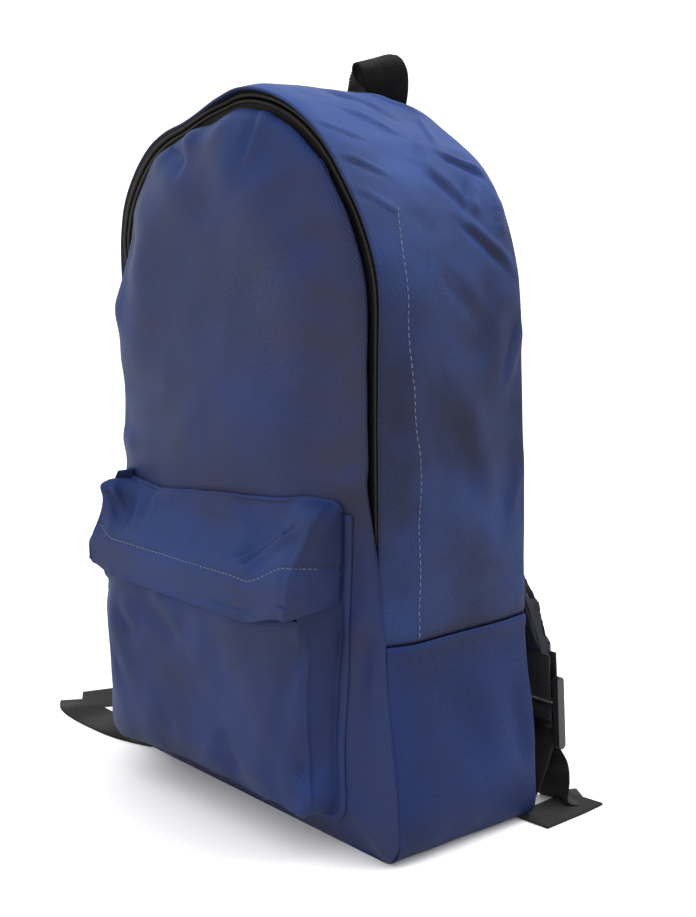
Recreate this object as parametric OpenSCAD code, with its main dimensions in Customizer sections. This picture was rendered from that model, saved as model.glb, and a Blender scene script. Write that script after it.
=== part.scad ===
// School backpack: arch-topped fabric bag with a U-shaped main zip, a zipped front
// pocket under a storm flap, a webbing haul loop and two padded shoulder straps.
// Millimetres. +Z up, the front faces -Y, the origin is the middle of the base on the floor.

/* [Bag] */
// Width of the bag from side to side, which also sets the arch's radius
body_w = 262; // [240:1:280]
// Depth of the bag between its front and back seams
body_d = 108; // [100:1:130]
// Height of the bag at the top of the arch
body_h = 430; // [400:1:460]
// Radius of the bag's lower corners, seen from the front
base_r = 16; // [12:1:24]
// Height of the seam between the zipped gusset and the base gusset
side_seam_z = 125; // [110:1:135]
// Thickness of the coated fabric with its turned edges
fabric_t = 0.9; // [0.6:0.1:0.9]
// How far the filled front panel stands out from its seam
front_puff = 16; // [8:1:18]

/* [Main zip] */
// Distance from the bag's outside to the middle of the zip chain
zip_in = 6; // [6:0.5:8]
// Height of the zip's lower ends
zip_end_z = 148; // [140:1:152]
// Height of the line where the open front folds forward
fold_z = 206; // [204:1:216]

/* [Front pocket] */
// Width of the pocket
pocket_w = 210; // [180:1:216]
// Height of the pocket's bottom edge
pocket_z0 = 26; // [20:1:40]
// Height of the pocket's top seam
pocket_z1 = 199; // [190:1:201]
// How far the pocket's face is in front of the bag's front seam
pocket_d = 42; // [36:1:50]
// Radius of the pocket's lower corners
pocket_r = 12; // [8:1:20]
// Height of the pocket's zip chain
pocket_zip_z = 148; // [145:1:154]
// How far the storm flap hangs down from its stitch line
flap_drop = 38; // [34:1:46]

/* [Haul loop] */
// Width of the haul loop's webbing
loop_webbing_w = 28; // [20:1:34]
// Radius of the loop's rounded top
loop_r = 24; // [12:1:25]
// Height of the loop above the bag
loop_h = 27; // [26:1:45]

/* [Shoulder straps] */
// Distance of each strap's top end from the middle
strap_top_x = 42; // [36:1:50]
// Distance of each strap's lower end from the middle
strap_end_x = 118; // [100:1:120]
// Width of the padded strap
strap_w = 52; // [44:1:60]
// Thickness of the padded strap
strap_t = 9; // [7:0.5:12]
// Length of the padded strap
strap_l = 285; // [270:1:290]
// Height of the strap's sewn top end
strap_top_z = 372; // [365:1:376]
// Angle at which the strap stands off the back
strap_lean = 3; // [2.5:0.5:8]
// Width of the adjusting webbing
webbing_w = 28; // [24:1:30]

/* [Hidden] */

$fn = 96;
gap = 0.2;                           // clearance between sewn neighbours
big = 1000;                          // larger than the whole bag
arch_r = body_w / 2;
arch_z = body_h - arch_r;            // height of the arch's centre
y_front = -body_d / 2;
y_back = body_d / 2;

// Zip chain, across its width, measured out from the middle of the chain
tape_t = 0.5;
coil_t = 1.5;
coil_w = 2.1;
chain_gap = 1.4;                     // room for the slider's post between the two coils
chain_r = arch_r - zip_in;
panel_edge_in = zip_in + 4;          // the front panel's edge stops this far from the outside
puff_in = panel_edge_in + 2;         // where the front panel starts to stand out
puff_slope = 30;                     // width of the slope round the filled face
tape_y = y_front + fabric_t + 0.1;   // front face of the tape, behind the front panel
tape_inner_w = 13;
outer_band_l = 16;                   // tape sewn along the inside of the gusset

// Slider and puller
slider_w = 7.6;
slider_l = 12;
blade_t = 1.2;
bail_h = 2.6;
bail_w = 2;
post_w = 0.8;                        // between the two coils
pull_pin_r = 0.7;
pull_bore_r = 0.78;
pull_l = 26;
pull_w = 7;
pull_t = 1.4;

// Pocket
pocket_y = y_front - pocket_d;       // the pocket's front face
pocket_zip_gap = 7;                  // from the zip's chain to each fabric edge
flap_z = pocket_zip_z + 18;          // the flap's stitch line
flap_seam = 6;                       // the flap is sewn on over this height above the line
flap_out = 12;                       // how far the flap's edge stands off the pocket
flap_y = pocket_y - 0.3;             // back of the flap at its seam
pocket_pull_l = 20;

// Ladder lock, with distances measured down the strap from its top end
lock_bar_r = 2;
lock_top_bar = strap_l + 11;
lock_mid_bar = lock_top_bar + 15;
lock_low_bar = lock_mid_bar + 16;
lock_side_w = 4.5;
lock_t = 5.5;
webbing_t = 1.4;
strap_y = y_back + fabric_t + 0.6;   // inner face of the strap at its top end
smooth_fn = 32;

function smooth(t) = t * t * (3 - 2 * t);

// ---------- helpers ----------

// Extrudes a shape drawn in the X-Z plane from y0 to y1
module along_y(y0, y1) {
    translate([0, y1, 0]) rotate([90, 0, 0]) linear_extrude(y1 - y0) children();
}

// Extrudes a shape drawn in the Y-Z plane from x0 to x1
module along_x(x0, x1) {
    translate([x0, 0, 0]) rotate([90, 0, 90]) linear_extrude(x1 - x0) children();
}

// The bag's face outline, this far inside the bag's outside
module body_2d(inset) {
    r = arch_r - inset;
    c = max(base_r - inset, 2);
    union() {
        translate([0, arch_z]) circle(r);
        translate([-r, inset + c]) square([2 * r, arch_z - inset - c]);
        translate([-(r - c), inset]) square([2 * (r - c), 2 * c]);
        for (s = [-1, 1]) translate([s * (r - c), inset + c]) circle(c);
    }
}

// A ring between two insets of the bag's outline
module ring_2d(inset_out, inset_in) {
    difference() {
        body_2d(inset_out);
        body_2d(inset_in);
    }
}

module above_2d(z) { translate([-big / 2, z]) square([big, big]); }
module below_2d(z) { translate([-big / 2, z - big]) square([big, big]); }

// The front's filled shape: the bag's outline at the seam, narrowing to a flat face in front of it
module filled_front() {
    hull() {
        along_y(y_front, y_front + fabric_t) body_2d(puff_in, $fn = smooth_fn);
        along_y(y_front - front_puff, y_front - front_puff + 1)
            body_2d(puff_in + puff_slope, $fn = smooth_fn);
    }
}

// The front panel before it is divided at the fold: a flat rim round a filled face of even thickness
module front_panel() {
    union() {
        along_y(y_front, y_front + fabric_t) difference() {
            front_2d();
            body_2d(puff_in + 0.5);
        }
        difference() {
            filled_front();
            translate([0, fabric_t, 0]) filled_front();
        }
    }
}

// ---------- bag shell ----------

module zip_gusset() {
    color("#2f4480")
    along_y(y_front, y_back) intersection() {
        ring_2d(0, fabric_t);
        above_2d(side_seam_z + gap);
    }
}

module base_gusset() {
    color("#2b3d76")
    along_y(y_front, y_back) intersection() {
        ring_2d(0, fabric_t);
        below_2d(side_seam_z - gap);
    }
}

// The front panel's flat outline: full width below the zip, narrower beside it
module front_2d() {
    intersection() {
        body_2d(fabric_t + gap);
        below_2d(zip_end_z - 4);
    }
    intersection() {
        body_2d(panel_edge_in);
        above_2d(zip_end_z - 5);
    }
}

module front_panel_lower() {
    color("#344a8c") intersection() {
        front_panel();
        translate([-big / 2, -big / 2, fold_z - 1 - big]) cube(big);
    }
}

module front_panel_upper() {
    color("#344a8c") intersection() {
        front_panel();
        translate([-big / 2, -big / 2, fold_z + 1]) cube(big);
    }
}

// ---------- back ----------

foam_t = 6;
lining_t = 0.6;
panel_y1 = y_back - 0.1;
foam_y1 = panel_y1 - fabric_t - gap;
lining_y1 = foam_y1 - foam_t - gap;

module back_panel() {
    color("#2b3d76") along_y(panel_y1 - fabric_t, panel_y1) body_2d(fabric_t + gap);
}

module back_foam() {
    color("#d8d8d4") along_y(foam_y1 - foam_t, foam_y1) body_2d(7);
}

module back_lining() {
    color("#26314f") along_y(lining_y1 - lining_t, lining_y1) body_2d(fabric_t + gap);
}

module back_yoke() {
    color("#2b3d76") along_y(y_back, y_back + fabric_t) intersection() {
        body_2d(5);
        above_2d(strap_top_z + 1);
    }
}

binding_w = 7;
binding_t = 1.6;

module rear_seam_binding() {
    y1 = lining_y1 - lining_t - gap;
    color("#17181b") along_y(y1 - binding_w, y1) ring_2d(fabric_t + gap, fabric_t + gap + binding_t);
}

module front_seam_binding() {
    y0 = y_front + fabric_t + gap;
    color("#17181b") along_y(y0, y0 + binding_w) intersection() {
        ring_2d(fabric_t + gap, fabric_t + gap + binding_t);
        below_2d(zip_end_z - 6);
    }
}

// ---------- main zip ----------

module main_tape_outer() {
    color("#141414") union() {
        along_y(tape_y, tape_y + tape_t) intersection() {
            ring_2d(fabric_t + gap, zip_in - chain_gap / 2 + 0.2);
            above_2d(zip_end_z);
        }
        along_y(tape_y, tape_y + outer_band_l) intersection() {
            ring_2d(fabric_t + gap, fabric_t + gap + tape_t);
            above_2d(zip_end_z);
        }
    }
}

module inner_tape_2d() {
    ring_2d(zip_in + chain_gap / 2 - 0.2, zip_in + tape_inner_w);
}

module main_tape_inner_lower() {
    color("#141414") along_y(tape_y, tape_y + tape_t) intersection() {
        inner_tape_2d();
        above_2d(zip_end_z);
        below_2d(fold_z - 1);
    }
}

module main_tape_inner_upper() {
    color("#141414") along_y(tape_y, tape_y + tape_t) intersection() {
        inner_tape_2d();
        above_2d(fold_z + 1);
    }
}

coil_y0 = tape_y - 0.1 - coil_t;
inner_coil_in = zip_in + chain_gap / 2;

module main_coil_outer() {
    color("#1c1a19") along_y(coil_y0, coil_y0 + coil_t) intersection() {
        ring_2d(zip_in - chain_gap / 2 - coil_w, zip_in - chain_gap / 2);
        above_2d(zip_end_z);
    }
}

module main_coil_inner_lower() {
    color("#1c1a19") along_y(coil_y0, coil_y0 + coil_t) intersection() {
        ring_2d(inner_coil_in, inner_coil_in + coil_w);
        above_2d(zip_end_z);
        below_2d(fold_z - 1);
    }
}

module main_coil_inner_upper() {
    color("#1c1a19") along_y(coil_y0, coil_y0 + coil_t) intersection() {
        ring_2d(inner_coil_in, inner_coil_in + coil_w);
        above_2d(fold_z + 1);
    }
}

stop_l = 3;

module main_zip_stops() {
    half = chain_gap / 2 + coil_w;
    color("#8a8a88") for (s = [-1, 1])
        translate([s * chain_r - half, coil_y0, zip_end_z - stop_l - gap])
            cube([2 * half, coil_t, stop_l]);
}

// A slider drawn with its chain along Z and its face towards -Y, its middle at the origin
module slider() {
    front = coil_y0 - tape_y - gap;              // front blade's inner face, from the tape's front
    back = tape_t + gap;                         // back blade's inner face
    bail_l = 7;
    difference() {
        union() {
            for (y = [front - blade_t, back])
                translate([-slider_w / 2, y, -slider_l / 2]) cube([slider_w, blade_t, slider_l]);
            translate([-post_w / 2, front - blade_t, -1.5]) cube([post_w, back - front + 2 * blade_t, 5]);
            translate([-bail_w / 2, front - blade_t - bail_h, -bail_l / 2])
                cube([bail_w, bail_h + 0.1, bail_l]);
        }
        translate([0, slider_pin_y(), 0]) rotate([0, 90, 0]) cylinder(h = 20, r = pull_bore_r, center = true);
    }
}

function slider_pin_y() = coil_y0 - tape_y - gap - blade_t - bail_h / 2;

// A pull tab hanging down from a slider at the origin
module puller(l) {
    window_w = bail_w + 1;
    arm_w = (pull_w - window_w) / 2;
    window_l = 7;
    translate([0, slider_pin_y(), 0]) union() {
        rotate([0, 90, 0]) cylinder(h = window_w + 0.2, r = pull_pin_r, center = true);
        for (s = [-1, 1])
            translate([s * (window_w + arm_w) / 2 - arm_w / 2, -pull_t / 2, -window_l])
                cube([arm_w, pull_t, window_l + 1]);
        translate([-pull_w / 2, -pull_t / 2, -l + 3]) cube([pull_w, pull_t, l - 3 - window_l + 0.1]);
        translate([0, pull_t / 2, -l + 3.5]) rotate([90, 0, 0]) cylinder(h = pull_t, r = pull_w / 2);
    }
}

module at_main_slider() {
    translate([-chain_r, tape_y, zip_end_z + slider_l / 2 + 3]) children();
}

module main_slider() { color("#3a3a3c") at_main_slider() slider(); }
module main_puller() { color("#3a3a3c") at_main_slider() puller(pull_l); }

// ---------- front pocket ----------

module pocket_2d(inset) {
    half = pocket_w / 2 - inset;
    r = pocket_r - inset;
    z0 = pocket_z0 + inset;
    union() {
        translate([-half, z0 + r]) square([2 * half, pocket_z1 - fabric_t - gap - z0 - r]);
        translate([-half + r, z0]) square([2 * (half - r), r + 1]);
        for (s = [-1, 1]) translate([s * (half - r), z0 + r]) circle(r);
    }
}

// The filled front with a little clearance in front of it
module behind_pocket() {
    translate([0, -gap, 0]) filled_front();
}

module pocket_front() {
    color("#31468a") difference() {
        union() {
            along_y(pocket_y, y_front - 1) difference() {
                pocket_2d(0);
                pocket_2d(fabric_t);
                above_2d(pocket_z1 - fabric_t - gap - 0.01);
            }
            along_y(pocket_y, pocket_y + fabric_t) intersection() {
                pocket_2d(0);
                below_2d(pocket_zip_z - pocket_zip_gap);
            }
        }
        along_y(pocket_y + fabric_t, y_front) translate([-pocket_w / 2 + pocket_r, pocket_z1 - 1.5])
            square([pocket_w - 2 * pocket_r, 4]);
        behind_pocket();
    }
}

module pocket_top() {
    half = pocket_w / 2 - fabric_t - gap;
    color("#31468a") difference() {
        union() {
            translate([-pocket_w / 2, pocket_y, pocket_z1 - fabric_t])
                cube([pocket_w, -pocket_y + y_front - 1, fabric_t]);
            translate([-half, pocket_y, pocket_zip_z + pocket_zip_gap])
                cube([2 * half, fabric_t, pocket_z1 - pocket_zip_z - pocket_zip_gap - 0.1]);
        }
        behind_pocket();
    }
}

// The flap's section: sewn edge, a slope out over the zip's slider, then a straight drop
module flap_2d() {
    slope_z = 16;
    polygon([
        [flap_y, flap_z + flap_seam], [flap_y, flap_z],
        [flap_y - flap_out + fabric_t, flap_z - slope_z], [flap_y - flap_out, flap_z - flap_drop],
        [flap_y - flap_out - fabric_t, flap_z - flap_drop], [flap_y - flap_out - 0.1, flap_z - slope_z + 0.5],
        [flap_y - fabric_t, flap_z + 1], [flap_y - fabric_t, flap_z + flap_seam]
    ]);
}

module pocket_flap() {
    color("#31468a") along_x(-pocket_w / 2 - 1, pocket_w / 2 + 1) flap_2d();
}

pocket_tape_y = pocket_y + fabric_t + 0.1;
pocket_coil_y0 = pocket_tape_y - 0.1 - coil_t;
pocket_zip_half = pocket_w / 2 - 8;

module pocket_zip_row(side, z0, z1, y0, y1) {
    z = side > 0 ? z0 : -z1;
    translate([-pocket_zip_half, y0, pocket_zip_z + z]) cube([2 * pocket_zip_half, y1 - y0, z1 - z0]);
}

module pocket_tape_lower() {
    color("#141414") pocket_zip_row(-1, chain_gap / 2 - 0.2, 12, pocket_tape_y, pocket_tape_y + tape_t);
}

module pocket_tape_upper() {
    color("#141414") pocket_zip_row(1, chain_gap / 2 - 0.2, 12, pocket_tape_y, pocket_tape_y + tape_t);
}

module pocket_coil_lower() {
    color("#1c1a19")
        pocket_zip_row(-1, chain_gap / 2, chain_gap / 2 + coil_w, pocket_coil_y0, pocket_coil_y0 + coil_t);
}

module pocket_coil_upper() {
    color("#1c1a19")
        pocket_zip_row(1, chain_gap / 2, chain_gap / 2 + coil_w, pocket_coil_y0, pocket_coil_y0 + coil_t);
}

module pocket_zip_stops() {
    half = chain_gap / 2 + coil_w;
    color("#8a8a88") for (s = [-1, 1])
        translate([s * (pocket_zip_half + gap + stop_l / 2), pocket_coil_y0 + coil_t / 2, pocket_zip_z])
            cube([stop_l, coil_t, 2 * half], center = true);
}

module at_pocket_slider() {
    translate([pocket_zip_half - slider_l / 2 - 2, pocket_tape_y, pocket_zip_z]) children();
}

module pocket_slider() {
    color("#3a3a3c") at_pocket_slider() rotate([0, -90, 0]) slider();
}

// The pull tab lies back along the chain, out of the flap's way
module pocket_puller() {
    color("#3a3a3c") at_pocket_slider() rotate([0, 90, 0]) puller(pocket_pull_l);
}

// ---------- haul loop ----------

// An arch of webbing. Its legs narrow towards the seam, as the twisted ends of the webbing do
module haul_loop() {
    arc_z = body_h + loop_h - loop_r;
    seam_z = body_h + 0.4;
    seam_half = 1.2;
    half = loop_webbing_w / 2;
    color("#121212") intersection() {
        along_y(y_back - half, y_back + half) union() {
            translate([0, arc_z]) intersection() {
                difference() {
                    circle(loop_r);
                    circle(loop_r - 2);
                }
                above_2d(0);
            }
            for (s = [-1, 1])
                translate([s * (loop_r - 1) - 1, seam_z]) square([2, arc_z - seam_z + 0.1]);
        }
        along_x(-loop_r - 1, loop_r + 1) polygon([
            [y_back - seam_half, seam_z], [y_back + seam_half, seam_z],
            [y_back + half, body_h + loop_h - 4], [y_back + half, body_h + loop_h + 1],
            [y_back - half, body_h + loop_h + 1], [y_back - half, body_h + loop_h - 4]
        ]);
    }
}

// ---------- shoulder straps ----------

// Places a right-hand strap piece drawn flat, hanging down from the strap's top end
module on_strap() {
    translate([0, strap_y, strap_top_z]) rotate([strap_lean, 0, 0]) children();
}

strap_steps = 18;
strap_taper_l = 30;                  // the strap narrows to the webbing's width over this length
strap_straight = 0.4;                // share of the strap's length that hangs straight before it turns outwards
function strap_x(d) = let (t = max(0, (d / strap_l - strap_straight) / (1 - strap_straight)))
    strap_top_x + (strap_end_x - strap_top_x) * smooth(t);
function strap_half(d) = let (t = max(0, (d - strap_l + strap_taper_l) / strap_taper_l))
    strap_w / 2 + (webbing_w / 2 + 2 - strap_w / 2) * smooth(t);

// The strap's outline in the X-Z plane, this far inside its edge
module strap_2d(inset) {
    ds = [for (i = [0 : strap_steps]) inset + i * (strap_l - 2 * inset) / strap_steps];
    right = [for (d = ds) [strap_x(d) + strap_half(d) - inset, -d]];
    left = [for (i = [strap_steps : -1 : 0]) [strap_x(ds[i]) - strap_half(ds[i]) + inset, -ds[i]]];
    polygon(concat(right, left));
}

module strap_cover() {
    color("#17181a") on_strap() difference() {
        along_y(0, strap_t) strap_2d(0);
        along_y(fabric_t, strap_t - fabric_t) strap_2d(2);
    }
}

module strap_foam() {
    color("#d8d8d4") on_strap() along_y(fabric_t + gap, strap_t - fabric_t - gap) strap_2d(2.4);
}

// A folded loop of webbing that holds the ladder lock's top bar
module strap_tab() {
    r_in = lock_bar_r + 0.08;
    r_out = r_in + webbing_t;
    color("#121212") on_strap() translate([0, strap_t / 2, 0])
        along_x(strap_end_x - webbing_w / 2, strap_end_x + webbing_w / 2) difference() {
            union() {
                translate([0, -lock_top_bar]) circle(r_out);
                translate([-r_out, -lock_top_bar]) square([2 * r_out, lock_top_bar - strap_l - gap]);
            }
            translate([0, -lock_top_bar]) circle(r_in);
            translate([-r_in + 0.6, -lock_top_bar]) square([2 * r_in - 1.2, lock_top_bar - strap_l - 2]);
        }
}

module lock_bar(d, r) {
    translate([strap_end_x, 0, -d]) rotate([0, 90, 0]) cylinder(h = webbing_w + 4, r = r, center = true);
}

module ladder_lock() {
    top = lock_top_bar - 4;
    bottom = lock_low_bar + 5;
    side_x = webbing_w / 2 + 1.5;
    color("#101012") on_strap() translate([0, strap_t / 2, 0]) union() {
        lock_bar(lock_top_bar, lock_bar_r);
        lock_bar(lock_mid_bar, lock_bar_r);
        lock_bar(lock_low_bar, lock_bar_r);
        for (s = [-1, 1])
            translate([strap_end_x + s * (side_x + lock_side_w / 2), 0, 0])
                along_x(-lock_side_w / 2, lock_side_w / 2) union() {
                    translate([-lock_t / 2, -bottom]) square([lock_t, bottom - top]);
                    translate([0, -top]) circle(lock_t / 2);
                    translate([0, -bottom]) circle(lock_t / 2);
                }
    }
}

// A ribbon's section in the Y-Z plane, along a list of points
module ribbon_2d(points, t) {
    n = len(points);
    function dir(i) = let (a = points[max(0, i - 1)], b = points[min(n - 1, i + 1)], v = b - a) v / norm(v);
    function side(i, s) = points[i] + s * t / 2 * [-dir(i)[1], dir(i)[0]];
    polygon(concat([for (i = [0 : n - 1]) side(i, 1)], [for (i = [n - 1 : -1 : 0]) side(i, -1)]));
}

// A point in the Y-Z plane, this far down the strap and this far out from its middle
function on_lock(d, out) = [
    strap_y + d * sin(strap_lean) + (out + strap_t / 2) * cos(strap_lean),
    strap_top_z - d * cos(strap_lean) + (out + strap_t / 2) * sin(strap_lean)
];

lock_wrap_r = lock_bar_r + 0.2 + webbing_t / 2;   // the webbing's middle line round a lock bar
anchor_z = 9;

// From the seam at the bag's base up to the back of the ladder lock
module webbing_lower() {
    color("#121212") along_x(strap_end_x - webbing_w / 2, strap_end_x + webbing_w / 2)
        ribbon_2d([
            [y_back + webbing_t, anchor_z],
            [y_back + webbing_t + 6, anchor_z + 4],
            on_lock(lock_low_bar + 8, -lock_wrap_r - 1),
            on_lock(lock_low_bar - 2, -lock_wrap_r)
        ], webbing_t);
}

// Round the lock's middle bar, down over its lower bar and on to the floor
wrap_steps = 8;
floor_z = webbing_t / 2 + 0.2;
foot_y = y_back + 26;
tail_y1 = y_back + 46;
tail_points = concat(
    [on_lock(lock_low_bar - 4, -lock_wrap_r)],
    [for (i = [0 : wrap_steps])
        let (a = 180 * i / wrap_steps)
        on_lock(lock_mid_bar - lock_wrap_r * sin(a), -lock_wrap_r * cos(a))],
    [on_lock(lock_low_bar + 4, lock_wrap_r), on_lock(lock_low_bar + 14, lock_wrap_r + 1)],
    [[foot_y, 15], [foot_y - 1, 7], [foot_y + 1, 3], [foot_y + 5, floor_z], [tail_y1, floor_z]]
);

module right_tail() {
    color("#121212") along_x(strap_end_x - webbing_w / 2, strap_end_x + webbing_w / 2)
        ribbon_2d(tail_points, webbing_t);
}

// The left tail is longer: it lies flat beside the bag and folds back towards the front corner
tail_tip = [-arch_r - 100, y_front + 6];
tail_end = [-arch_r + 5, y_front + 12];
module left_tail() {
    x0 = -strap_end_x;
    floor_path = [[x0 + 8, tail_y1 - 8], [x0 - 20, tail_y1 - 10], [x0 - 44, tail_y1 - 36], tail_tip];
    color("#121212") union() {
        along_x(x0 - webbing_w / 2, x0 + webbing_w / 2) ribbon_2d(tail_points, webbing_t);
        translate([0, 0, floor_z - webbing_t / 2]) linear_extrude(webbing_t) {
            ribbon_2d(floor_path, webbing_w);
            translate(tail_tip) circle(webbing_w / 2);
            ribbon_2d([tail_tip, (tail_tip + tail_end) / 2 - [0, 6], tail_end], webbing_w);
        }
    }
}

module mirror_x() { mirror([1, 0, 0]) children(); }

// ---------- nodes ----------

zip_gusset();
base_gusset();
front_panel_lower();
front_panel_upper();
back_panel();
back_foam();
back_lining();
back_yoke();
rear_seam_binding();
front_seam_binding();
main_tape_outer();
main_tape_inner_lower();
main_tape_inner_upper();
main_coil_outer();
main_coil_inner_lower();
main_coil_inner_upper();
main_zip_stops();
main_slider();
main_puller();
pocket_front();
pocket_top();
pocket_flap();
pocket_tape_lower();
pocket_tape_upper();
pocket_coil_lower();
pocket_coil_upper();
pocket_zip_stops();
pocket_slider();
pocket_puller();
haul_loop();
mirror_x() strap_cover();  // left_strap_cover
mirror_x() strap_foam();  // left_strap_foam
mirror_x() strap_tab();  // left_strap_tab
mirror_x() ladder_lock();  // left_ladder_lock
mirror_x() webbing_lower();  // left_webbing_lower
left_tail();  // left_webbing_tail
strap_cover();  // right_strap_cover
strap_foam();  // right_strap_foam
strap_tab();  // right_strap_tab
ladder_lock();  // right_ladder_lock
webbing_lower();  // right_webbing_lower
right_tail();  // right_webbing_tail
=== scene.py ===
import math

import bpy
import numpy as np
from mathutils import Matrix, Vector, noise
from mathutils.bvhtree import BVHTree


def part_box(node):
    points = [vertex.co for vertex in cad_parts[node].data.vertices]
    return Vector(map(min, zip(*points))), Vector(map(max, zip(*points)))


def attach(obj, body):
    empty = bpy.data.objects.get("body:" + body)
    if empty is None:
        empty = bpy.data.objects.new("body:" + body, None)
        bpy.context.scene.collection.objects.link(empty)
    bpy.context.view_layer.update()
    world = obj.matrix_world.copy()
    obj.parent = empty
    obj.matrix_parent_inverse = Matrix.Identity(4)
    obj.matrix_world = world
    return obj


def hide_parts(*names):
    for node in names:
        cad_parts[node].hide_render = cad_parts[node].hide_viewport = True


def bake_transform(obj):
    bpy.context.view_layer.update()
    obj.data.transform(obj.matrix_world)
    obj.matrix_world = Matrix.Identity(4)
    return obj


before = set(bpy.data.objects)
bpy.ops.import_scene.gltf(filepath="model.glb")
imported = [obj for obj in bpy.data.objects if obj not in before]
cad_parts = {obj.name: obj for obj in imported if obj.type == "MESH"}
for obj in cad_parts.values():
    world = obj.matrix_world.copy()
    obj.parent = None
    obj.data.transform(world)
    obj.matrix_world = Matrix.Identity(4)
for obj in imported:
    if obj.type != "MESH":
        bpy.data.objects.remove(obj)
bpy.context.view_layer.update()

MM = 0.001
UP = np.array([0.0, 0.0, 1.0])

# ---------- sizes taken from the CAD nodes ----------

gusset_lo, gusset_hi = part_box("zip_gusset")
HALF_W = gusset_hi.x                      # half the bag's width, and the arch's radius
TOP_Z = gusset_hi.z
ARCH_Z = TOP_Z - HALF_W                   # height of the arch's centre
Y_FRONT = gusset_lo.y
Y_BACK = gusset_hi.y
SEAM_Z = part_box("base_gusset")[1].z       # seam between the zipped gusset and the base gusset
CORNER_R = 13 * MM                        # lower corners, seen from the front
panel_lo, panel_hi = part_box("front_panel_upper")
PANEL_INSET = HALF_W - panel_hi.x         # the front panel's edge, in from the outside
ZIP_END_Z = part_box("main_tape_outer")[0].z
pocket_lo, pocket_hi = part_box("pocket_front")
POCKET_HALF = pocket_hi.x
POCKET_Z0 = pocket_lo.z
POCKET_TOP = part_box("pocket_top")[1].z
FLANGE = 4 * MM                           # from the pocket's side to the middle of its sewn flange
POCKET_Y = pocket_lo.y
POCKET_ZIP_Z = (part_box("pocket_coil_lower")[1].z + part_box("pocket_coil_upper")[0].z) / 2

FINE = 3                                  # how much finer a settled grid is made before its small folds

# ---------- small numeric helpers ----------


def smooth(t):
    """0 to 1 with flat ends."""
    t = np.clip(t, 0, 1)
    return t * t * (3 - 2 * t)


def bump(t):
    """1 at t = 0, fading to 0."""
    return np.exp(-(t ** 2))


def finer(points, factor, axis, closed=False):
    """A finer grid through the same points, by Catmull-Rom curves along one axis."""
    p = np.moveaxis(points, axis, 0)
    n = len(p)
    count = n * factor if closed else (n - 1) * factor + 1
    at = np.arange(count) / factor
    i = np.floor(at).astype(int)
    if not closed:
        i = np.minimum(i, n - 2)
    f = (at - i).reshape((-1,) + (1,) * (p.ndim - 1))
    if closed:
        a, b, c, d = (p[(i + k) % n] for k in (-1, 0, 1, 2))
    else:
        a, b, c, d = (p[np.clip(i + k, 0, n - 1)] for k in (-1, 0, 1, 2))
    curved = (2 * a - 5 * b + 4 * c - d) * f ** 2
    out = 0.5 * (2 * b + (c - a) * f + curved + (3 * b - a - 3 * c + d) * f ** 3)
    return np.moveaxis(out, 0, axis)


def refine(points, rows=FINE, cols=FINE, closed=False):
    """A grid made finer along both of its axes."""
    return finer(finer(points, rows, 0, closed), cols, 1)


def grid_normals(points, closed=False):
    """Unit normals of a grid of points, rows along axis 0 and columns along axis 1."""
    if closed:
        du = np.roll(points, -1, 0) - np.roll(points, 1, 0)
    else:
        du = np.gradient(points, axis=0)
    dv = np.gradient(points, axis=1)
    n = np.cross(du, dv)
    return n / np.maximum(np.linalg.norm(n, axis=-1, keepdims=True), 1e-12)


def noise_field(points, size, seed, stretch=(1, 1, 1)):
    """Smooth noise of about -1 to 1 at each point, with features of this size in metres."""
    flat = points.reshape(-1, 3) * np.array(stretch) / size + seed * 17.3
    return np.array([noise.noise(Vector(p)) for p in flat]).reshape(points.shape[:-1])


def crease(points, normals, start, end, width, depth, ridge):
    """Presses a fold line into a grid: a valley with a softer ridge on one side, fading at both ends. The
    start, end, width and depth are in millimetres."""
    a = np.array(start) * MM
    b = np.array(end) * MM
    along = b - a
    length = np.linalg.norm(along)
    t = np.clip(((points - a) @ along) / length ** 2, 0, 1)
    away = points - (a + t[..., None] * along)
    side = np.sign(np.einsum("...i,...i", np.cross(normals, along), away))
    s = side * np.linalg.norm(away, axis=-1) / (width * MM)
    fade = smooth(t / 0.3) * smooth((1 - t) / 0.3) * 0.85 + 0.15
    fade = fade * bump(np.maximum(np.linalg.norm(away, axis=-1) / (6 * width * MM) - 0.5, 0) * 3)
    profile = -bump(s) + ridge * bump((s - 1.7) / 1.2)
    return push(points, normals, profile * fade * depth)


def press_folds(points, normals, folds):
    """Presses each fold of a table of (start, end, width, depth, side ridge) into a grid."""
    for fold in folds:
        points = crease(points, normals, *fold)
    return points


def push(points, normals, amount):
    """Moves points along their normals by this many millimetres."""
    return points + normals * (amount * MM)[..., None]


def arc_lengths(path):
    """Distance along a path of points, starting at 0."""
    steps = np.linalg.norm(np.diff(path, axis=0), axis=1)
    return np.concatenate([[0], np.cumsum(steps)])


def resample(path, step):
    """Points at about this spacing along a path, and how far along each one is."""
    s = arc_lengths(path)
    count = max(2, int(round(s[-1] / step)) + 1)
    at = np.linspace(0, s[-1], count)
    return np.stack([np.interp(at, s, path[:, k]) for k in range(path.shape[1])], 1), at


def curve_through(knots, per=12):
    """A smooth path through a few points."""
    return finer(np.array(knots, float)[:, None, :], per, 0)[:, 0, :]


# ---------- mesh helpers ----------


def add_mesh(name, points, faces, uvs, material, body=None):
    """A mesh object from points, faces and one UV per face corner."""
    mesh = bpy.data.meshes.new(name)
    mesh.from_pydata(np.asarray(points).reshape(-1, 3).tolist(), [], faces)
    layer = mesh.uv_layers.new(name="cloth")
    layer.data.foreach_set("uv", np.asarray(uvs, np.float32).ravel())
    mesh.polygons.foreach_set("use_smooth", [True] * len(mesh.polygons))
    mesh.materials.append(material)
    mesh.update()
    piece = bpy.data.objects.new(name, mesh)
    bpy.context.scene.collection.objects.link(piece)
    if body:
        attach(piece, body)
    return piece


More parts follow.
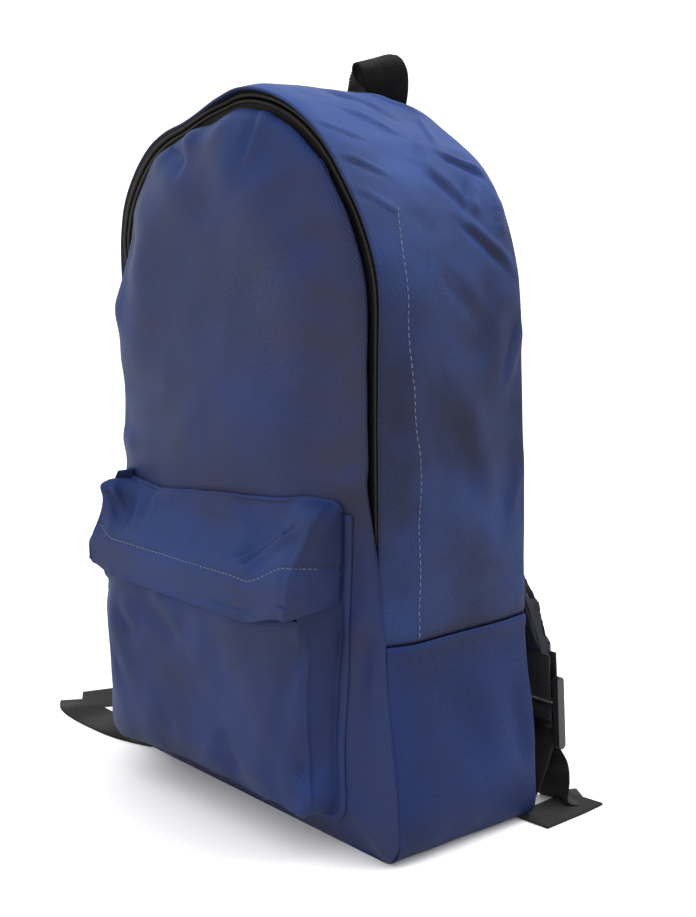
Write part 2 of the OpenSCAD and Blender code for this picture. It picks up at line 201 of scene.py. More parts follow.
def grid_faces(rows, cols, closed_rows=False, closed_cols=False, flip=False):
    """Quads of a grid and, for each corner, its row and column counted without wrapping round."""
    faces = []
    corners = []
    for r in range(rows if closed_rows else rows - 1):
        for c in range(cols if closed_cols else cols - 1):
            quad = [(r, c), (r + 1, c), (r + 1, c + 1), (r, c + 1)]
            if flip:
                quad.reverse()
            faces.append([(i % rows) * cols + j % cols for i, j in quad])
            corners.extend(quad)
    return faces, np.array(corners)


def grid_uvs(points, corners, closed_cols=False):
    """Lengths along the grid's middle row and column as UVs, in metres."""
    rows, cols = points.shape[:2]
    column = points[:, cols // 2]
    row = points[rows // 2]
    if closed_cols:
        row = np.concatenate([row, row[:1]])
    return np.stack([arc_lengths(column)[corners[:, 0]], arc_lengths(row)[corners[:, 1]]], 1)


def sheet(name, points, material, body=None, thickness=0.9, flip=False, uv=None, offset=-1.0):
    """Cloth from a grid of points. At an offset of -1 its thickness grows inwards from its outer face."""
    faces, corners = grid_faces(*points.shape[:2], flip=flip)
    if uv is None:
        uvs = grid_uvs(points, corners)
    else:
        uvs = uv[corners[:, 0], corners[:, 1]]
    piece = add_mesh(name, points, faces, uvs, material)
    thicken(piece, thickness, offset)
    if body:
        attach(piece, body)
    return piece


def thicken(piece, thickness, offset=-1.0):
    """Gives a piece without thickness this many millimetres of it."""
    solid = piece.modifiers.new("thickness", "SOLIDIFY")
    solid.thickness = thickness * MM
    solid.offset = offset
    apply_modifiers(piece)


def stand_for(piece, slot, *nodes):
    """Hides the CAD nodes whose place a piece takes. The piece and its material slot are not used."""
    if nodes:
        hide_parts(*nodes)


def finish_node(name, material, bevel_width, segments=2, angle=40):
    """Gives a CAD node its material and softens its edges sharper than this angle."""
    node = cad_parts[name]
    node.data.materials.clear()
    node.data.materials.append(material)
    joined = node.modifiers.new("weld", "WELD")
    joined.merge_threshold = 0.01 * MM
    bevel = node.modifiers.new("bevel", "BEVEL")
    bevel.width = bevel_width * MM
    bevel.segments = segments
    bevel.angle_limit = math.radians(angle)


def apply_modifiers(piece):
    """Turns a piece's modifiers into plain mesh."""
    graph = bpy.context.evaluated_depsgraph_get()
    mesh = bpy.data.meshes.new_from_object(piece.evaluated_get(graph), depsgraph=graph)
    piece.modifiers.clear()
    piece.data = mesh


def join_meshes(name, parts, material, body=None):
    """One mesh object from several lists of (points, faces, uvs)."""
    points = []
    faces = []
    uvs = []
    for p, f, uv in parts:
        base = len(points)
        points.extend(np.asarray(p).reshape(-1, 3).tolist())
        faces.extend([[i + base for i in face] for face in f])
        uvs.extend(np.asarray(uv).tolist())
    return add_mesh(name, np.array(points), faces, uvs, material, body)


def settle(points, faces, pinned, frames, pressure, cap, growth):
    """Runs cloth with air pressure inside it, and returns where its points come to rest, at most the cap in
    millimetres away. Growth is the share by which the cloth is larger than the space it starts in."""
    start = points.reshape(-1, 3)
    mesh = bpy.data.meshes.new("settle")
    mesh.from_pydata(start.tolist(), [], faces)
    piece = bpy.data.objects.new("settle", mesh)
    bpy.context.scene.collection.objects.link(piece)
    group = piece.vertex_groups.new(name="pin")
    group.add([int(i) for i in np.flatnonzero(pinned.ravel())], 1.0, "REPLACE")
    cloth = piece.modifiers.new("cloth", "CLOTH")
    setup = cloth.settings
    setup.quality = 6
    setup.mass = 0.3
    setup.tension_stiffness = 15
    setup.compression_stiffness = 15
    setup.shear_stiffness = 5
    setup.bending_stiffness = 0.5
    setup.use_pressure = True
    setup.uniform_pressure_force = pressure
    setup.shrink_min = -growth
    setup.vertex_group_mass = "pin"
    setup.effector_weights.gravity = 0.0
    cloth.point_cache.frame_start = 1
    cloth.point_cache.frame_end = frames
    for f in range(1, frames + 1):
        bpy.context.scene.frame_set(f)
    graph = bpy.context.evaluated_depsgraph_get()
    made = piece.evaluated_get(graph).data
    out = np.zeros(len(start) * 3)
    made.vertices.foreach_get("co", out)
    bpy.data.objects.remove(piece)
    bpy.context.scene.frame_set(1)
    move = out.reshape(-1, 3) - start
    size = np.linalg.norm(move, axis=1, keepdims=True)
    limit = cap * MM
    move = move * np.where(size > 1e-9, limit * np.tanh(size / limit) / np.maximum(size, 1e-9), 0)
    return (start + move).reshape(points.shape)


def soften(settled, start):
    """Evens out a grid's simulated moves between neighbours, and leaves its border as simulated."""
    move = settled - start
    border_move = move.copy()
    for _ in range(2):
        for axis in (0, 1):
            m = np.moveaxis(move, axis, 0)
            wide = np.concatenate([m[:1], m, m[-1:]])
            move = np.moveaxis((wide[:-2] + 2 * wide[1:-1] + wide[2:]) / 4, 0, axis)
        for edge in ((0, slice(None)), (-1, slice(None)), (slice(None), 0), (slice(None), -1)):
            move[edge] = border_move[edge]
    return start + move


def surface_of(points, closed=False, flip=False):
    """A searchable surface from a grid, for placing seams and stitches on it."""
    faces, _ = grid_faces(*points.shape[:2], closed_rows=closed, flip=flip)
    return BVHTree.FromPolygons([Vector(p) for p in points.reshape(-1, 3)], faces)


def tube_parts(path, radius, sides):
    """A closed round cord along a path as (points, faces, uvs), with one radius or one per point."""
    path = np.asarray(path)
    radius = np.broadcast_to(np.asarray(radius, float), (len(path),))
    ahead = np.gradient(path, axis=0)
    ahead /= np.maximum(np.linalg.norm(ahead, axis=1, keepdims=True), 1e-12)
    helper = np.where(np.abs(ahead[:, 2:3]) > 0.9, np.array([[1.0, 0, 0]]), UP[None])
    side = np.cross(ahead, helper)
    side /= np.linalg.norm(side, axis=1, keepdims=True)
    over = np.cross(side, ahead)
    angle = np.arange(sides) * 2 * math.pi / sides
    ring = side[:, None] * np.cos(angle)[None, :, None] + over[:, None] * np.sin(angle)[None, :, None]
    points = path[:, None] + ring * radius[:, None, None]
    faces, corners = grid_faces(len(path), sides, closed_cols=True)
    uvs = np.concatenate([grid_uvs(points, corners, closed_cols=True), np.zeros((2 * sides, 2))])
    return points, faces + end_caps(len(path), sides), uvs


def end_caps(rows, cols):
    """The two faces that close the ends of a tube of this many rings."""
    return [list(range(cols)), list(range((rows - 1) * cols, rows * cols))[::-1]]


STITCH_LENGTH = 2.7                       # millimetres, with a pitch of about 4
THREAD_RADIUS = 0.32 * MM
STITCH_LIFT = ((0, -0.35), (0.15, 0.05), (0.5, 0.22), (0.85, 0.05), (1, -0.35))


def stitch_line(name, path, surface, material, body, side, pitch=4.0):
    """A row of thread stitches lying on a surface along a path, on the face that looks to this side."""
    points, _ = resample(np.asarray(path), pitch * MM)
    parts = []
    for a, after in zip(points[:-1], points[1:]):
        b = a + (after - a) * (STITCH_LENGTH / pitch)
        stitch = []
        for t, lift in STITCH_LIFT:
            place, normal, _, _ = surface.find_nearest(Vector(a + (b - a) * t))
            n = np.array(normal)
            if n @ np.array(side) < 0:
                n = -n
            stitch.append(np.array(place) + n * lift * MM)
        parts.append(tube_parts(np.array(stitch), THREAD_RADIUS, sides=5))
    return join_meshes(name, parts, material, body)


# ---------- materials ----------


class Shader:
    """A material's node tree, built by name."""

    def __init__(self, name):
        self.material = bpy.data.materials.new(name)
        self.material.use_nodes = True
        self.tree = self.material.node_tree
        self.surface = self.tree.nodes["Principled BSDF"]

    def add(self, kind, settings=None, **inputs):
        """Adds a node, sets its properties, and sets or links its inputs, whose names use _ for a space."""
        node = self.tree.nodes.new(kind)
        for key, value in (settings or {}).items():
            setattr(node, key, value)
        for key, value in inputs.items():
            by_number = key[0] == "i" and key[1:].isdigit()
            self.put(node, int(key[1:]) if by_number else key.replace("_", " "), value)
        return node

    def put(self, node, key, value):
        """Sets or links one input of a node."""
        if isinstance(value, bpy.types.NodeSocket):
            self.tree.links.new(value, node.inputs[key])
        else:
            node.inputs[key].default_value = value

    def math(self, operation, a, b=0.0, clamp=False):
        """The output of one arithmetic node."""
        node = self.add("ShaderNodeMath", {"operation": operation, "use_clamp": clamp}, i0=a, i1=b)
        return node.outputs[0]

    def plus(self, total, value, weight):
        """The total with this much of a value added."""
        return self.math("ADD", total, self.math("MULTIPLY", value, weight))

    def mix(self, factor, a, b):
        """A colour between a and b."""
        node = self.add("ShaderNodeMix", {"data_type": "RGBA"}, i0=factor, i6=a, i7=b)
        return node.outputs[2]

    def noise(self, coords, scale, detail=3.0, rough=0.55):
        """Noise of 0 to 1."""
        inputs = {"Vector": coords, "Scale": scale, "Detail": detail, "Roughness": rough}
        return self.add("ShaderNodeTexNoise", **inputs).outputs[0]

    def wave(self, u, v, per_u, per_v, pitch):
        """A sine of -1 to 1 that repeats at this pitch along the direction (per_u, per_v)."""
        total = self.math("ADD", self.math("MULTIPLY", u, per_u), self.math("MULTIPLY", v, per_v))
        return self.math("SINE", self.math("MULTIPLY", total, 2 * math.pi / pitch))

    def bump(self, height, distance, strength=1.0):
        """Links a bump of this depth in metres to the surface."""
        node = self.add("ShaderNodeBump", Strength=strength, Distance=distance, Height=height)
        self.put(self.surface, "Normal", node.outputs[0])

    def cloth(self):
        """The cloth's own map in metres, and its two directions."""
        place = self.add("ShaderNodeUVMap", {"uv_map": "cloth"}).outputs[0]
        split = self.add("ShaderNodeSeparateXYZ", Vector=place)
        return place, split.outputs[0], split.outputs[1]

    def set(self, **inputs):
        """Sets or links inputs of the surface."""
        for key, value in inputs.items():
            self.put(self.surface, key.replace("_", " "), value)


def rgb(red, green, blue):
    """A linear colour from screen values of 0 to 255."""
    linear = [v / 255 / 12.92 if v <= 10 else ((v / 255 + 0.055) / 1.055) ** 2.4 for v in (red, green, blue)]
    return tuple(linear) + (1.0,)


def shot_fabric(name, slate, blue, lean=0.0, twill=1.3, sheen=0.03):
    """Two-tone polyester twill of slate warp and blue weft. Cloth that faces upwards is mixed bluer and
    lighter, which is painted light from above; cloth seen at a grazing angle is mixed bluer, partly the shot
    cloth's own change of colour with the view and partly a painted sheen.
    """
    s = Shader(name)
    cloth, u, v = s.cloth()
    place = s.add("ShaderNodeTexCoord").outputs["Object"]
    wobble = s.math("MULTIPLY", s.noise(cloth, 160.0, 2.0), 0.0006)
    diagonal = s.wave(s.math("ADD", u, wobble), v, 0.8, 0.6, twill * MM)
    across = s.wave(u, v, 0.0, 1.0, 0.45 * MM)
    grain = s.noise(cloth, 1100.0, 3.0, 0.75)
    drawn_out = s.add("ShaderNodeMapping", Vector=cloth, Scale=(30.0, 900.0, 1.0))
    slub = s.noise(drawn_out.outputs[0], 1.0, 2.0)
    mottle = s.noise(place, 13.0, 3.0, 0.5)
    # painted light: the up-facing term paints light from above as a bluer, lighter colour, and the facing
    # term adds a painted sheen at grazing angles besides the shot cloth's own shift
    normal = s.add("ShaderNodeSeparateXYZ", Vector=s.add("ShaderNodeNewGeometry").outputs["Normal"])
    facing = s.add("ShaderNodeLayerWeight", Blend=0.35).outputs["Facing"]
    shift = s.math("ADD", s.math("MULTIPLY", normal.outputs[2], 0.7), s.math("MULTIPLY", facing, 0.3))
    shift = s.plus(shift, s.math("SUBTRACT", mottle, 0.5), 1.5)
    shift = s.plus(shift, diagonal, 0.10)
    shift = s.plus(shift, s.math("SUBTRACT", grain, 0.5), 0.5)
    shift = s.math("ADD", shift, 0.30 + lean, clamp=True)
    base = s.mix(shift, slate, blue)
    threads = s.plus(s.math("MULTIPLY", diagonal, 0.14), slub, 0.25)
    threads = s.plus(threads, s.math("SUBTRACT", grain, 0.5), 0.9)
    shade = s.math("ADD", threads, 0.78)
    tone = s.add("ShaderNodeMix", {"data_type": "RGBA", "blend_type": "MULTIPLY"}, i0=1.0, i6=base)
    grey = s.add("ShaderNodeCombineColor", Red=shade, Green=shade, Blue=shade)
    s.put(tone, 7, grey.outputs[0])
    s.set(Base_Color=tone.outputs[2], Roughness=s.math("ADD", s.math("MULTIPLY", slub, 0.15), 0.46))
    s.set(Specular_IOR_Level=0.08, Sheen_Weight=sheen, Sheen_Roughness=0.4, Sheen_Tint=rgb(120, 150, 255))
    height = s.math("ADD", s.plus(diagonal, across, 0.5), grain)
    s.bump(height, 0.10 * MM, 0.55)
    return s.material


def webbing_material(name, dark, light):
    """Woven nylon webbing: cross ribs, darker selvedges, a dull shine and a little dust."""
    s = Shader(name)
    cloth, u, v = s.cloth()
    rib = s.wave(u, v, 1.0, 0.0, 1.6 * MM)
    warp = s.wave(u, v, 0.35, 1.0, 1.1 * MM)
    grain = s.noise(cloth, 2200.0, 2.0, 0.7)
    dust = s.noise(cloth, 90.0)
    level = s.plus(s.math("MULTIPLY", warp, 0.18), rib, 0.12)
    level = s.plus(level, grain, 0.45)
    level = s.math("ADD", level, s.math("MULTIPLY", dust, 0.35), clamp=True)
    s.set(Base_Color=s.mix(level, dark, light), Roughness=s.math("ADD", s.math("MULTIPLY", grain, 0.2), 0.48))
    s.set(Specular_IOR_Level=0.15, Sheen_Weight=0.05, Sheen_Roughness=0.5)
    s.bump(s.math("ADD", s.math("ADD", rib, warp), grain), 0.12 * MM, 0.7)
    return s.material


def tape_material(name, dark, light, pitch=1.2):
    """Zip tape, lining or binding: a fine weave with a herringbone turn."""
    s = Shader(name)
    cloth, u, v = s.cloth()
    zigzag = s.math("PINGPONG", v, 2.5 * MM)
    weave = s.wave(u, zigzag, 1.0, 1.0, pitch * MM)
    grain = s.noise(cloth, 1800.0, 2.0, 0.7)
    level = s.math("ADD", s.math("MULTIPLY", weave, 0.25), s.math("MULTIPLY", grain, 0.8), clamp=True)
    s.set(Base_Color=s.mix(level, dark, light), Roughness=0.7, Specular_IOR_Level=0.12)
    s.bump(s.math("ADD", weave, grain), 0.1 * MM, 0.6)
    return s.material


def solid_material(name, dark, light, rough, metal=0.0, wear=0.0, shine=0.5):
    """Moulded plastic or painted metal, with fine grain and paler worn edges."""
    s = Shader(name)
    place = s.add("ShaderNodeTexCoord").outputs["Object"]
    grain = s.noise(place, 900.0)
    scuff = s.noise(place, 240.0, 4.0, 0.6)
    edge = s.add("ShaderNodeNewGeometry").outputs["Pointiness"]
    worn = s.math("MULTIPLY", s.math("SUBTRACT", edge, 0.51), 8.0 * wear, clamp=True)
    level = s.math("ADD", s.math("MULTIPLY", scuff, 0.6), worn, clamp=True)
    roughness = s.math("ADD", s.math("MULTIPLY", grain, 0.25), rough, clamp=True)
    s.set(Base_Color=s.mix(level, dark, light), Metallic=metal, Roughness=roughness, Specular_IOR_Level=shine)
    s.bump(grain, 0.05 * MM, 0.5)
    return s.material


def thread_material(name, dark, light):
    """Twisted sewing thread."""
    s = Shader(name)
    _, u, v = s.cloth()
    place = s.add("ShaderNodeTexCoord").outputs["Object"]
    twist = s.wave(u, v, 1.0, 0.7, 0.5 * MM)
    level = s.math("ADD", s.math("MULTIPLY", twist, 0.3), s.noise(place, 90.0, 2.0), clamp=True)
    s.set(Base_Color=s.mix(level, dark, light), Roughness=0.5, Sheen_Weight=0.3)
    s.bump(twist, 0.08 * MM, 0.6)
    return s.material


def foam_material(name, colour):
    """Open-cell foam."""
    s = Shader(name)
    place = s.add("ShaderNodeTexCoord").outputs["Object"]
    cells = s.add("ShaderNodeTexVoronoi", Vector=place, Scale=900.0).outputs["Distance"]
    # painted shade: the pores, where the bump is lowest, are mixed darker as shade in the cells' hollows
    dark = tuple(c * 0.7 for c in colour[:3]) + (1.0,)
    s.set(Base_Color=s.mix(cells, dark, colour), Roughness=0.9)
    s.bump(cells, 0.3 * MM, 0.8)
    return s.material


navy = shot_fabric("navy_twill", rgb(43, 42, 58), rgb(26, 46, 92))
navy_pocket = shot_fabric("navy_twill_pocket", rgb(36, 39, 60), rgb(31, 49, 96), lean=0.02)
navy_top = shot_fabric("navy_twill_gusset", rgb(30, 32, 50), rgb(36, 60, 114), lean=-0.12)
navy_base = shot_fabric("navy_twill_base", rgb(26, 33, 58), rgb(23, 39, 84), lean=0.1)
strap_twill = shot_fabric("strap_twill", rgb(20, 21, 23), rgb(46, 47, 50), twill=1.6, sheen=0.12)
lining_cloth = tape_material("lining_cloth", rgb(30, 38, 66), rgb(50, 60, 96), 0.9)
black_web = webbing_material("black_webbing", rgb(8, 8, 9), rgb(28, 28, 30))
grey_web = webbing_material("floor_webbing", rgb(10, 13, 12), rgb(38, 39, 36))
tape_cloth = tape_material("zip_tape_cloth", rgb(7, 7, 8), rgb(20, 19, 19))
binding_cloth = tape_material("binding_cloth", rgb(14, 15, 17), rgb(40, 42, 46))
coil_plastic = solid_material("zip_coil_plastic", rgb(16, 14, 13), rgb(38, 32, 28), 0.5, shine=0.2)
slider_paint = solid_material("slider_paint", rgb(36, 37, 40), rgb(88, 90, 95), 0.3, metal=0.6, wear=1.0)
stop_steel = solid_material("stop_steel", rgb(120, 120, 120), rgb(180, 180, 178), 0.3, metal=1.0, wear=0.5)
lock_plastic = solid_material("lock_plastic", rgb(12, 12, 13), rgb(34, 35, 37), 0.2, wear=0.5, shine=0.4)
pad_foam = foam_material("pad_foam", rgb(206, 206, 198))
pale_thread = thread_material("pale_thread", rgb(24, 30, 60), rgb(80, 87, 120))
dark_thread = thread_material("dark_thread", rgb(24, 28, 58), rgb(60, 70, 120))
black_thread = thread_material("black_thread", rgb(18, 18, 20), rgb(70, 70, 74))

# ---------- the bag's outline as a grid ----------

COLS = 45
SEAM_ROWS = 18
SIDE_ROWS = 29
ARCH_ROWS = 22
CORNER_ROWS = 4
GUSSET_COLS = 20


def flare(z, side):
    """How far the loaded base spreads past the CAD outline, more on the right than on the left."""
    return np.where(side > 0, 9.5, 5.0) * MM * smooth((SEAM_Z * 0.97 - z) / (SEAM_Z * 0.8))


def beside_zip(z):
    """0 below the zip's end, and 1 from a little above it."""
    return smooth((z - ZIP_END_Z + 4 * MM) / (62 * MM))


def taper_inset(z):
    """The front panel's edge runs beside the zip and closes on the seam below the zip's end."""
    low = 0.1 * MM
    return low + (PANEL_INSET - low) * beside_zip(z)


def face_grid(inset_at):
    """(x, z) of the bag's face on a grid: rows with rounded lower corners, then rows bent into an arch."""
    u = np.linspace(-1, 1, COLS)
    rows = []
    low = inset_at(0.0)
    radius = CORNER_R - low

    def straight(z, pinch):
        half = HALF_W - inset_at(z) - pinch
        x = u * half + np.sign(u) * np.abs(u) ** 3 * flare(z, u)
        rows.append(np.stack([x, np.full(COLS, z)], 1))

    for t in np.arange(CORNER_ROWS) / CORNER_ROWS * math.pi / 2:
        straight(low + radius * (1 - math.cos(t)), radius * (1 - math.sin(t)))
    for z in np.linspace(CORNER_R, SEAM_Z, SEAM_ROWS):
        straight(z, 0.0)
    for z in np.linspace(SEAM_Z, ARCH_Z, SIDE_ROWS)[1:]:
        straight(z, 0.0)
    r = HALF_W - inset_at(ARCH_Z)
    for t in np.linspace(0, 1, ARCH_ROWS)[1:]:
        rows.append(np.stack([r * u * math.sqrt(1 - t * t / 2), ARCH_Z + r * t * np.sqrt(1 - u * u / 2)], 1))
    return np.array(rows)


def border(rows, cols):
    """Row and column of each point round a grid's edge: bottom, right side, top, left side."""
    loop = [(0, c) for c in range(cols)]
    loop += [(r, cols - 1) for r in range(1, rows)]
    loop += [(rows - 1, c) for c in range(cols - 2, -1, -1)]
    loop += [(r, 0) for r in range(rows - 2, 0, -1)]
    return np.array(loop)


def edge_distance(xz, inset_at):
    """How far each (x, z) is inside the face's outline."""
    x = np.abs(xz[..., 0])
    z = xz[..., 1]
    half = HALF_W - inset_at(z)
    side = half + flare(z, xz[..., 0]) - x
    arch = half - np.hypot(x, np.maximum(z - ARCH_Z, 0))
    return np.maximum(np.minimum(np.where(z > ARCH_Z, arch, side), z - 1 * MM), 0)


# how far the stuffed bag stands out from the CAD outline, as (degrees round the arch from its right end, mm)
FRONT_SWELL = [
    (-90, 0), (-45, 0), (-15, 0.8), (2, 2.4), (12, 3.6), (25, 1.5), (38, -0.3), (52, 1.4), (70, 2.0),
    (86, 1.0), (96, -2.6), (107, -3.6), (117, -1.6), (126, 5.4), (136, 12.2), (151, 16.8), (161, 14.4),
    (172, 9.0), (185, 4.0), (198, 1.0), (212, 0), (260, 0),
]
REAR_SWELL = [
    (-90, -1.5), (-60, -3.2), (-30, -4.4), (0, -6.4), (12, -6.4), (26, -5.6), (41, -5.0), (53, -7.6),
    (62, -8.0), (72, -5.4), (88, -2.4), (110, 0), (135, 2), (155, 2), (180, 0), (260, 0),
]
# how much farther in the front panel's edge lies, where more of the zip tape shows
TAPE_SHOWS = [
    (-90, 0), (-55, 0), (-25, 1.6), (10, 2.4), (40, 2.0), (70, 2.4), (88, 3.6), (106, 5.2), (124, 4.2),
    (138, 3.2), (150, 6.5), (160, 7.5), (170, 4.5), (182, 1.0), (200, 0), (260, 0),
]
SLIDER_STOP_Z = 306 * MM                  # where the main slider's travel ends, below the arch


def arch_angle(x, z):
    """Degrees round the arch from its right end, running on down the sides at the same scale."""
    down = np.maximum(ARCH_Z - z, 0) / HALF_W
    turn = np.arctan2(np.maximum(z - ARCH_Z, 0), x)
    return np.degrees(np.where(x > 0, turn - down, turn + down))


def along_angle(knots, angle):
    """A smooth curve through (degrees, value) knots."""
    dense = curve_through(knots, 8)
    return np.interp(angle, dense[:, 0], dense[:, 1])


def swell(points, panel=False, chain=False):
    """Moves points on the CAD outline to the stuffed bag's outline; points nearer the middle move less."""
    x, y, z = points[..., 0], points[..., 1], points[..., 2]
    angle = arch_angle(x, z)
    back = smooth((y - Y_FRONT) / (Y_BACK - Y_FRONT))
    amount = along_angle(FRONT_SWELL, angle) * (1 - back) + along_angle(REAR_SWELL, angle) * back
    if panel:
        amount = amount - along_angle(TAPE_SHOWS, angle)
    if chain:
        # the zip's chain stays in line with its slider, which is parked low on the left and stops at the arch
        amount = np.where(x < 0, amount * smooth((z - SLIDER_STOP_Z) / (35 * MM)), amount)
    outward = np.stack([x, 0 * x, np.maximum(z - ARCH_Z, 0)], -1)
    reach = np.linalg.norm(outward, axis=-1, keepdims=True)
    share = np.clip(reach / HALF_W, 0, 1.1) ** 4
    return points + outward / np.maximum(reach, 1e-6) * share * amount[..., None] * MM


def shape_bag():
    """The bag's front panel and gusset: laid out on the CAD outline, then filled by a cloth simulation."""
    front_xz = face_grid(taper_inset)
    rows = len(front_xz)
    depth = edge_distance(front_xz, taper_inset)
    puff = 13.5 * MM * (1 - (1 - np.clip(depth / (44 * MM), 0, 1)) ** 2.2) ** 0.75
    stand = (0.1 + 2.1 * beside_zip(front_xz[..., 1])) * MM
    front = np.stack([front_xz[..., 0], Y_FRONT - stand - puff, front_xz[..., 1]], -1)
    outer_xz = face_grid(lambda z: 0.0 * z)
    loop = border(rows, COLS)
    outline = outer_xz[loop[:, 0], loop[:, 1]]
    far_side = smooth((arch_angle(outline[:, 0], outline[:, 1]) - 92) / 20)
    lip = (3.2 - 4.3 * far_side) * MM * smooth((outline[:, 1] - ZIP_END_Z + 30 * MM) / (60 * MM))
    steps = np.linspace(0, 1, GUSSET_COLS)
    ys = (Y_FRONT - lip)[:, None] * (1 - steps) + Y_BACK * steps
    xs, zs = (np.repeat(outline[:, k:k + 1], GUSSET_COLS, 1) for k in (0, 1))
    gusset = np.stack([xs, ys, zs], -1)
    # one mesh: front grid, a ring of quads across the zip, and the gusset
    panel_faces, _ = grid_faces(rows, COLS)
    offset = rows * COLS
    band_faces, _ = grid_faces(len(loop), GUSSET_COLS, closed_rows=True)
    index = loop[:, 0] * COLS + loop[:, 1]
    ring = []
    for k in range(len(loop)):
        after = (k + 1) % len(loop)
        band = [offset + after * GUSSET_COLS, offset + k * GUSSET_COLS]
        ring.append([int(index[k]), int(index[after])] + band)
    faces = [f[::-1] for f in panel_faces + ring] + [[i + offset for i in f][::-1] for f in band_faces]
    pin_front = np.zeros((rows, COLS), bool)
    pin_front[loop[:, 0], loop[:, 1]] = True
    pin_band = np.zeros(gusset.shape[:2], bool)
    pin_band[:, 0] = True
    pin_band[:, -1] = True
    pin_band |= gusset[..., 2] < 2 * MM
    points = np.concatenate([front.reshape(-1, 3), gusset.reshape(-1, 3)])
    pins = np.concatenate([pin_front.ravel(), pin_band.ravel()])
    done = settle(points, faces, pins, frames=18, pressure=4.0, cap=6.0, growth=0.02)
    settled_front = soften(done[:offset].reshape(front.shape), front)
    settled_gusset = soften(done[offset:].reshape(gusset.shape), gusset)
    return settled_front, settled_gusset, loop


front_grid, gusset_grid, loop = shape_bag()
seam_row = CORNER_ROWS + SEAM_ROWS - 1
right_seam = int(np.flatnonzero((loop[:, 0] == seam_row) & (loop[:, 1] == COLS - 1))[0])
left_seam = int(np.flatnonzero((loop[:, 0] == seam_row) & (loop[:, 1] == 0))[0])

# ---------- front panel ----------


def make_front_panel():
    """The front panel, with the soft folds of a half-filled bag and a rippled edge along the zip."""
    p = refine(front_grid)
    n = grid_normals(p)
    n = n * np.sign(n[..., 1:2] * -1)
    inside = smooth(edge_distance(p[..., [0, 2]], taper_inset) / (22 * MM))
    ripple = noise_field(p, 0.085, 3) * 4.0 + noise_field(p, 0.032, 5) * 1.1
    beside = bump((np.abs(p[..., 0]) - POCKET_HALF - FLANGE) / (9 * MM))
    beside = beside * smooth((POCKET_TOP - p[..., 2]) / (20 * MM))
    ripple = ripple * (1 - 0.9 * beside)
    p = push(p, n, ripple * inside)
    edge = bump((edge_distance(p[..., [0, 2]], taper_inset) - 6 * MM) / (9 * MM))
    high = smooth((p[..., 2] - ZIP_END_Z) / 0.06)
    p = push(p, n, noise_field(p, 0.022, 9) * 2.2 * edge * high)
    rim = edge_distance(p[..., [0, 2]], taper_inset)
    depth_in = smooth(rim / (11 * MM)) * smooth((60 * MM - rim) / (46 * MM))
    p = swell(p, panel=True)
    p = press_folds(p, n, PANEL_FOLDS)
    # the bag leans over its zip on the far side
    z = p[..., 2]
    over = depth_in * smooth((z - 150 * MM) / (30 * MM)) * smooth((345 * MM - z) / (50 * MM))
    over = over * (p[..., 0] < 0)
    p = p + over[..., None] * np.array([-12.0, -4.0, 0]) * MM
    p = even_under_pocket(p)
    panel = sheet("front_panel", p, navy, flip=True, uv=p[..., [0, 2]])
    bend_with_front(panel)
    stand_for(panel, "shell_fabric", "front_panel_lower", "front_panel_upper")
    return p


def even_under_pocket(p):
    """Takes the waves out of the front panel along both seams of the pocket."""
    level = int(np.argmin(np.abs(p[:, 0, 2] - POCKET_ZIP_Z)))
    for seam_x in (-POCKET_HALF - FLANGE, POCKET_HALF + FLANGE):
        column = int(np.argmin(np.abs(p[level, :, 0] - seam_x)))
        y, z = p[:, column, 1], p[:, column, 2]
        sewn = (z > 20 * MM) & (z < 210 * MM)
        even = np.polyval(np.polyfit(z[sewn], y[sewn], 3), z)
        shift = (even - y) * smooth((z - 12 * MM) / (15 * MM)) * smooth((225 * MM - z) / (15 * MM))
        p[..., 1] += shift[:, None] * bump((p[..., 0] - seam_x) / (12 * MM))
    return p


def bend_with_front(piece):
    """Bakes a piece's placement into its mesh."""
    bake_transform(piece)


# start, end, width, depth and side ridge of each fold, in millimetres
PANEL_FOLDS = [
    ((-66, -68, 406), (-30, -71, 386), 9, 4.6, 0.7),    # dip below the upper left of the zip
    ((34, -64, 424), (30, -72, 384), 4, 2.6, 0.8),      # upright groove under the top of the arch
    ((-30, -70, 404), (8, -72, 352), 16, 2.8, 0.8),     # long soft facet
    ((60, -70, 384), (96, -66, 330), 12, 2.4, 0.6),
    ((-104, -62, 352), (-92, -66, 280), 12, 2.6, 0.6),
    ((20, -72, 330), (84, -70, 268), 26, 2.6, 0.5),
    ((-70, -70, 300), (-20, -72, 236), 30, 2.6, 0.4),
    ((100, -64, 300), (84, -66, 226), 14, 2.0, 0.5),
    ((112, -62, 150), (96, -66, 112), 6, 2.2, 0.5),     # beside the pocket
    ((121, -58, 136), (116, -60, 90), 5, 1.8, 0.5),
]
front_surface = surface_of(make_front_panel())


def front_y(x, z):
    """The front panel's surface at (x, z)."""
    hit, _, _, _ = front_surface.ray_cast(Vector((x, -0.3, z)), Vector((0, 1, 0)))
    return hit.y if hit else Y_FRONT - 2 * MM


# ---------- gusset ----------


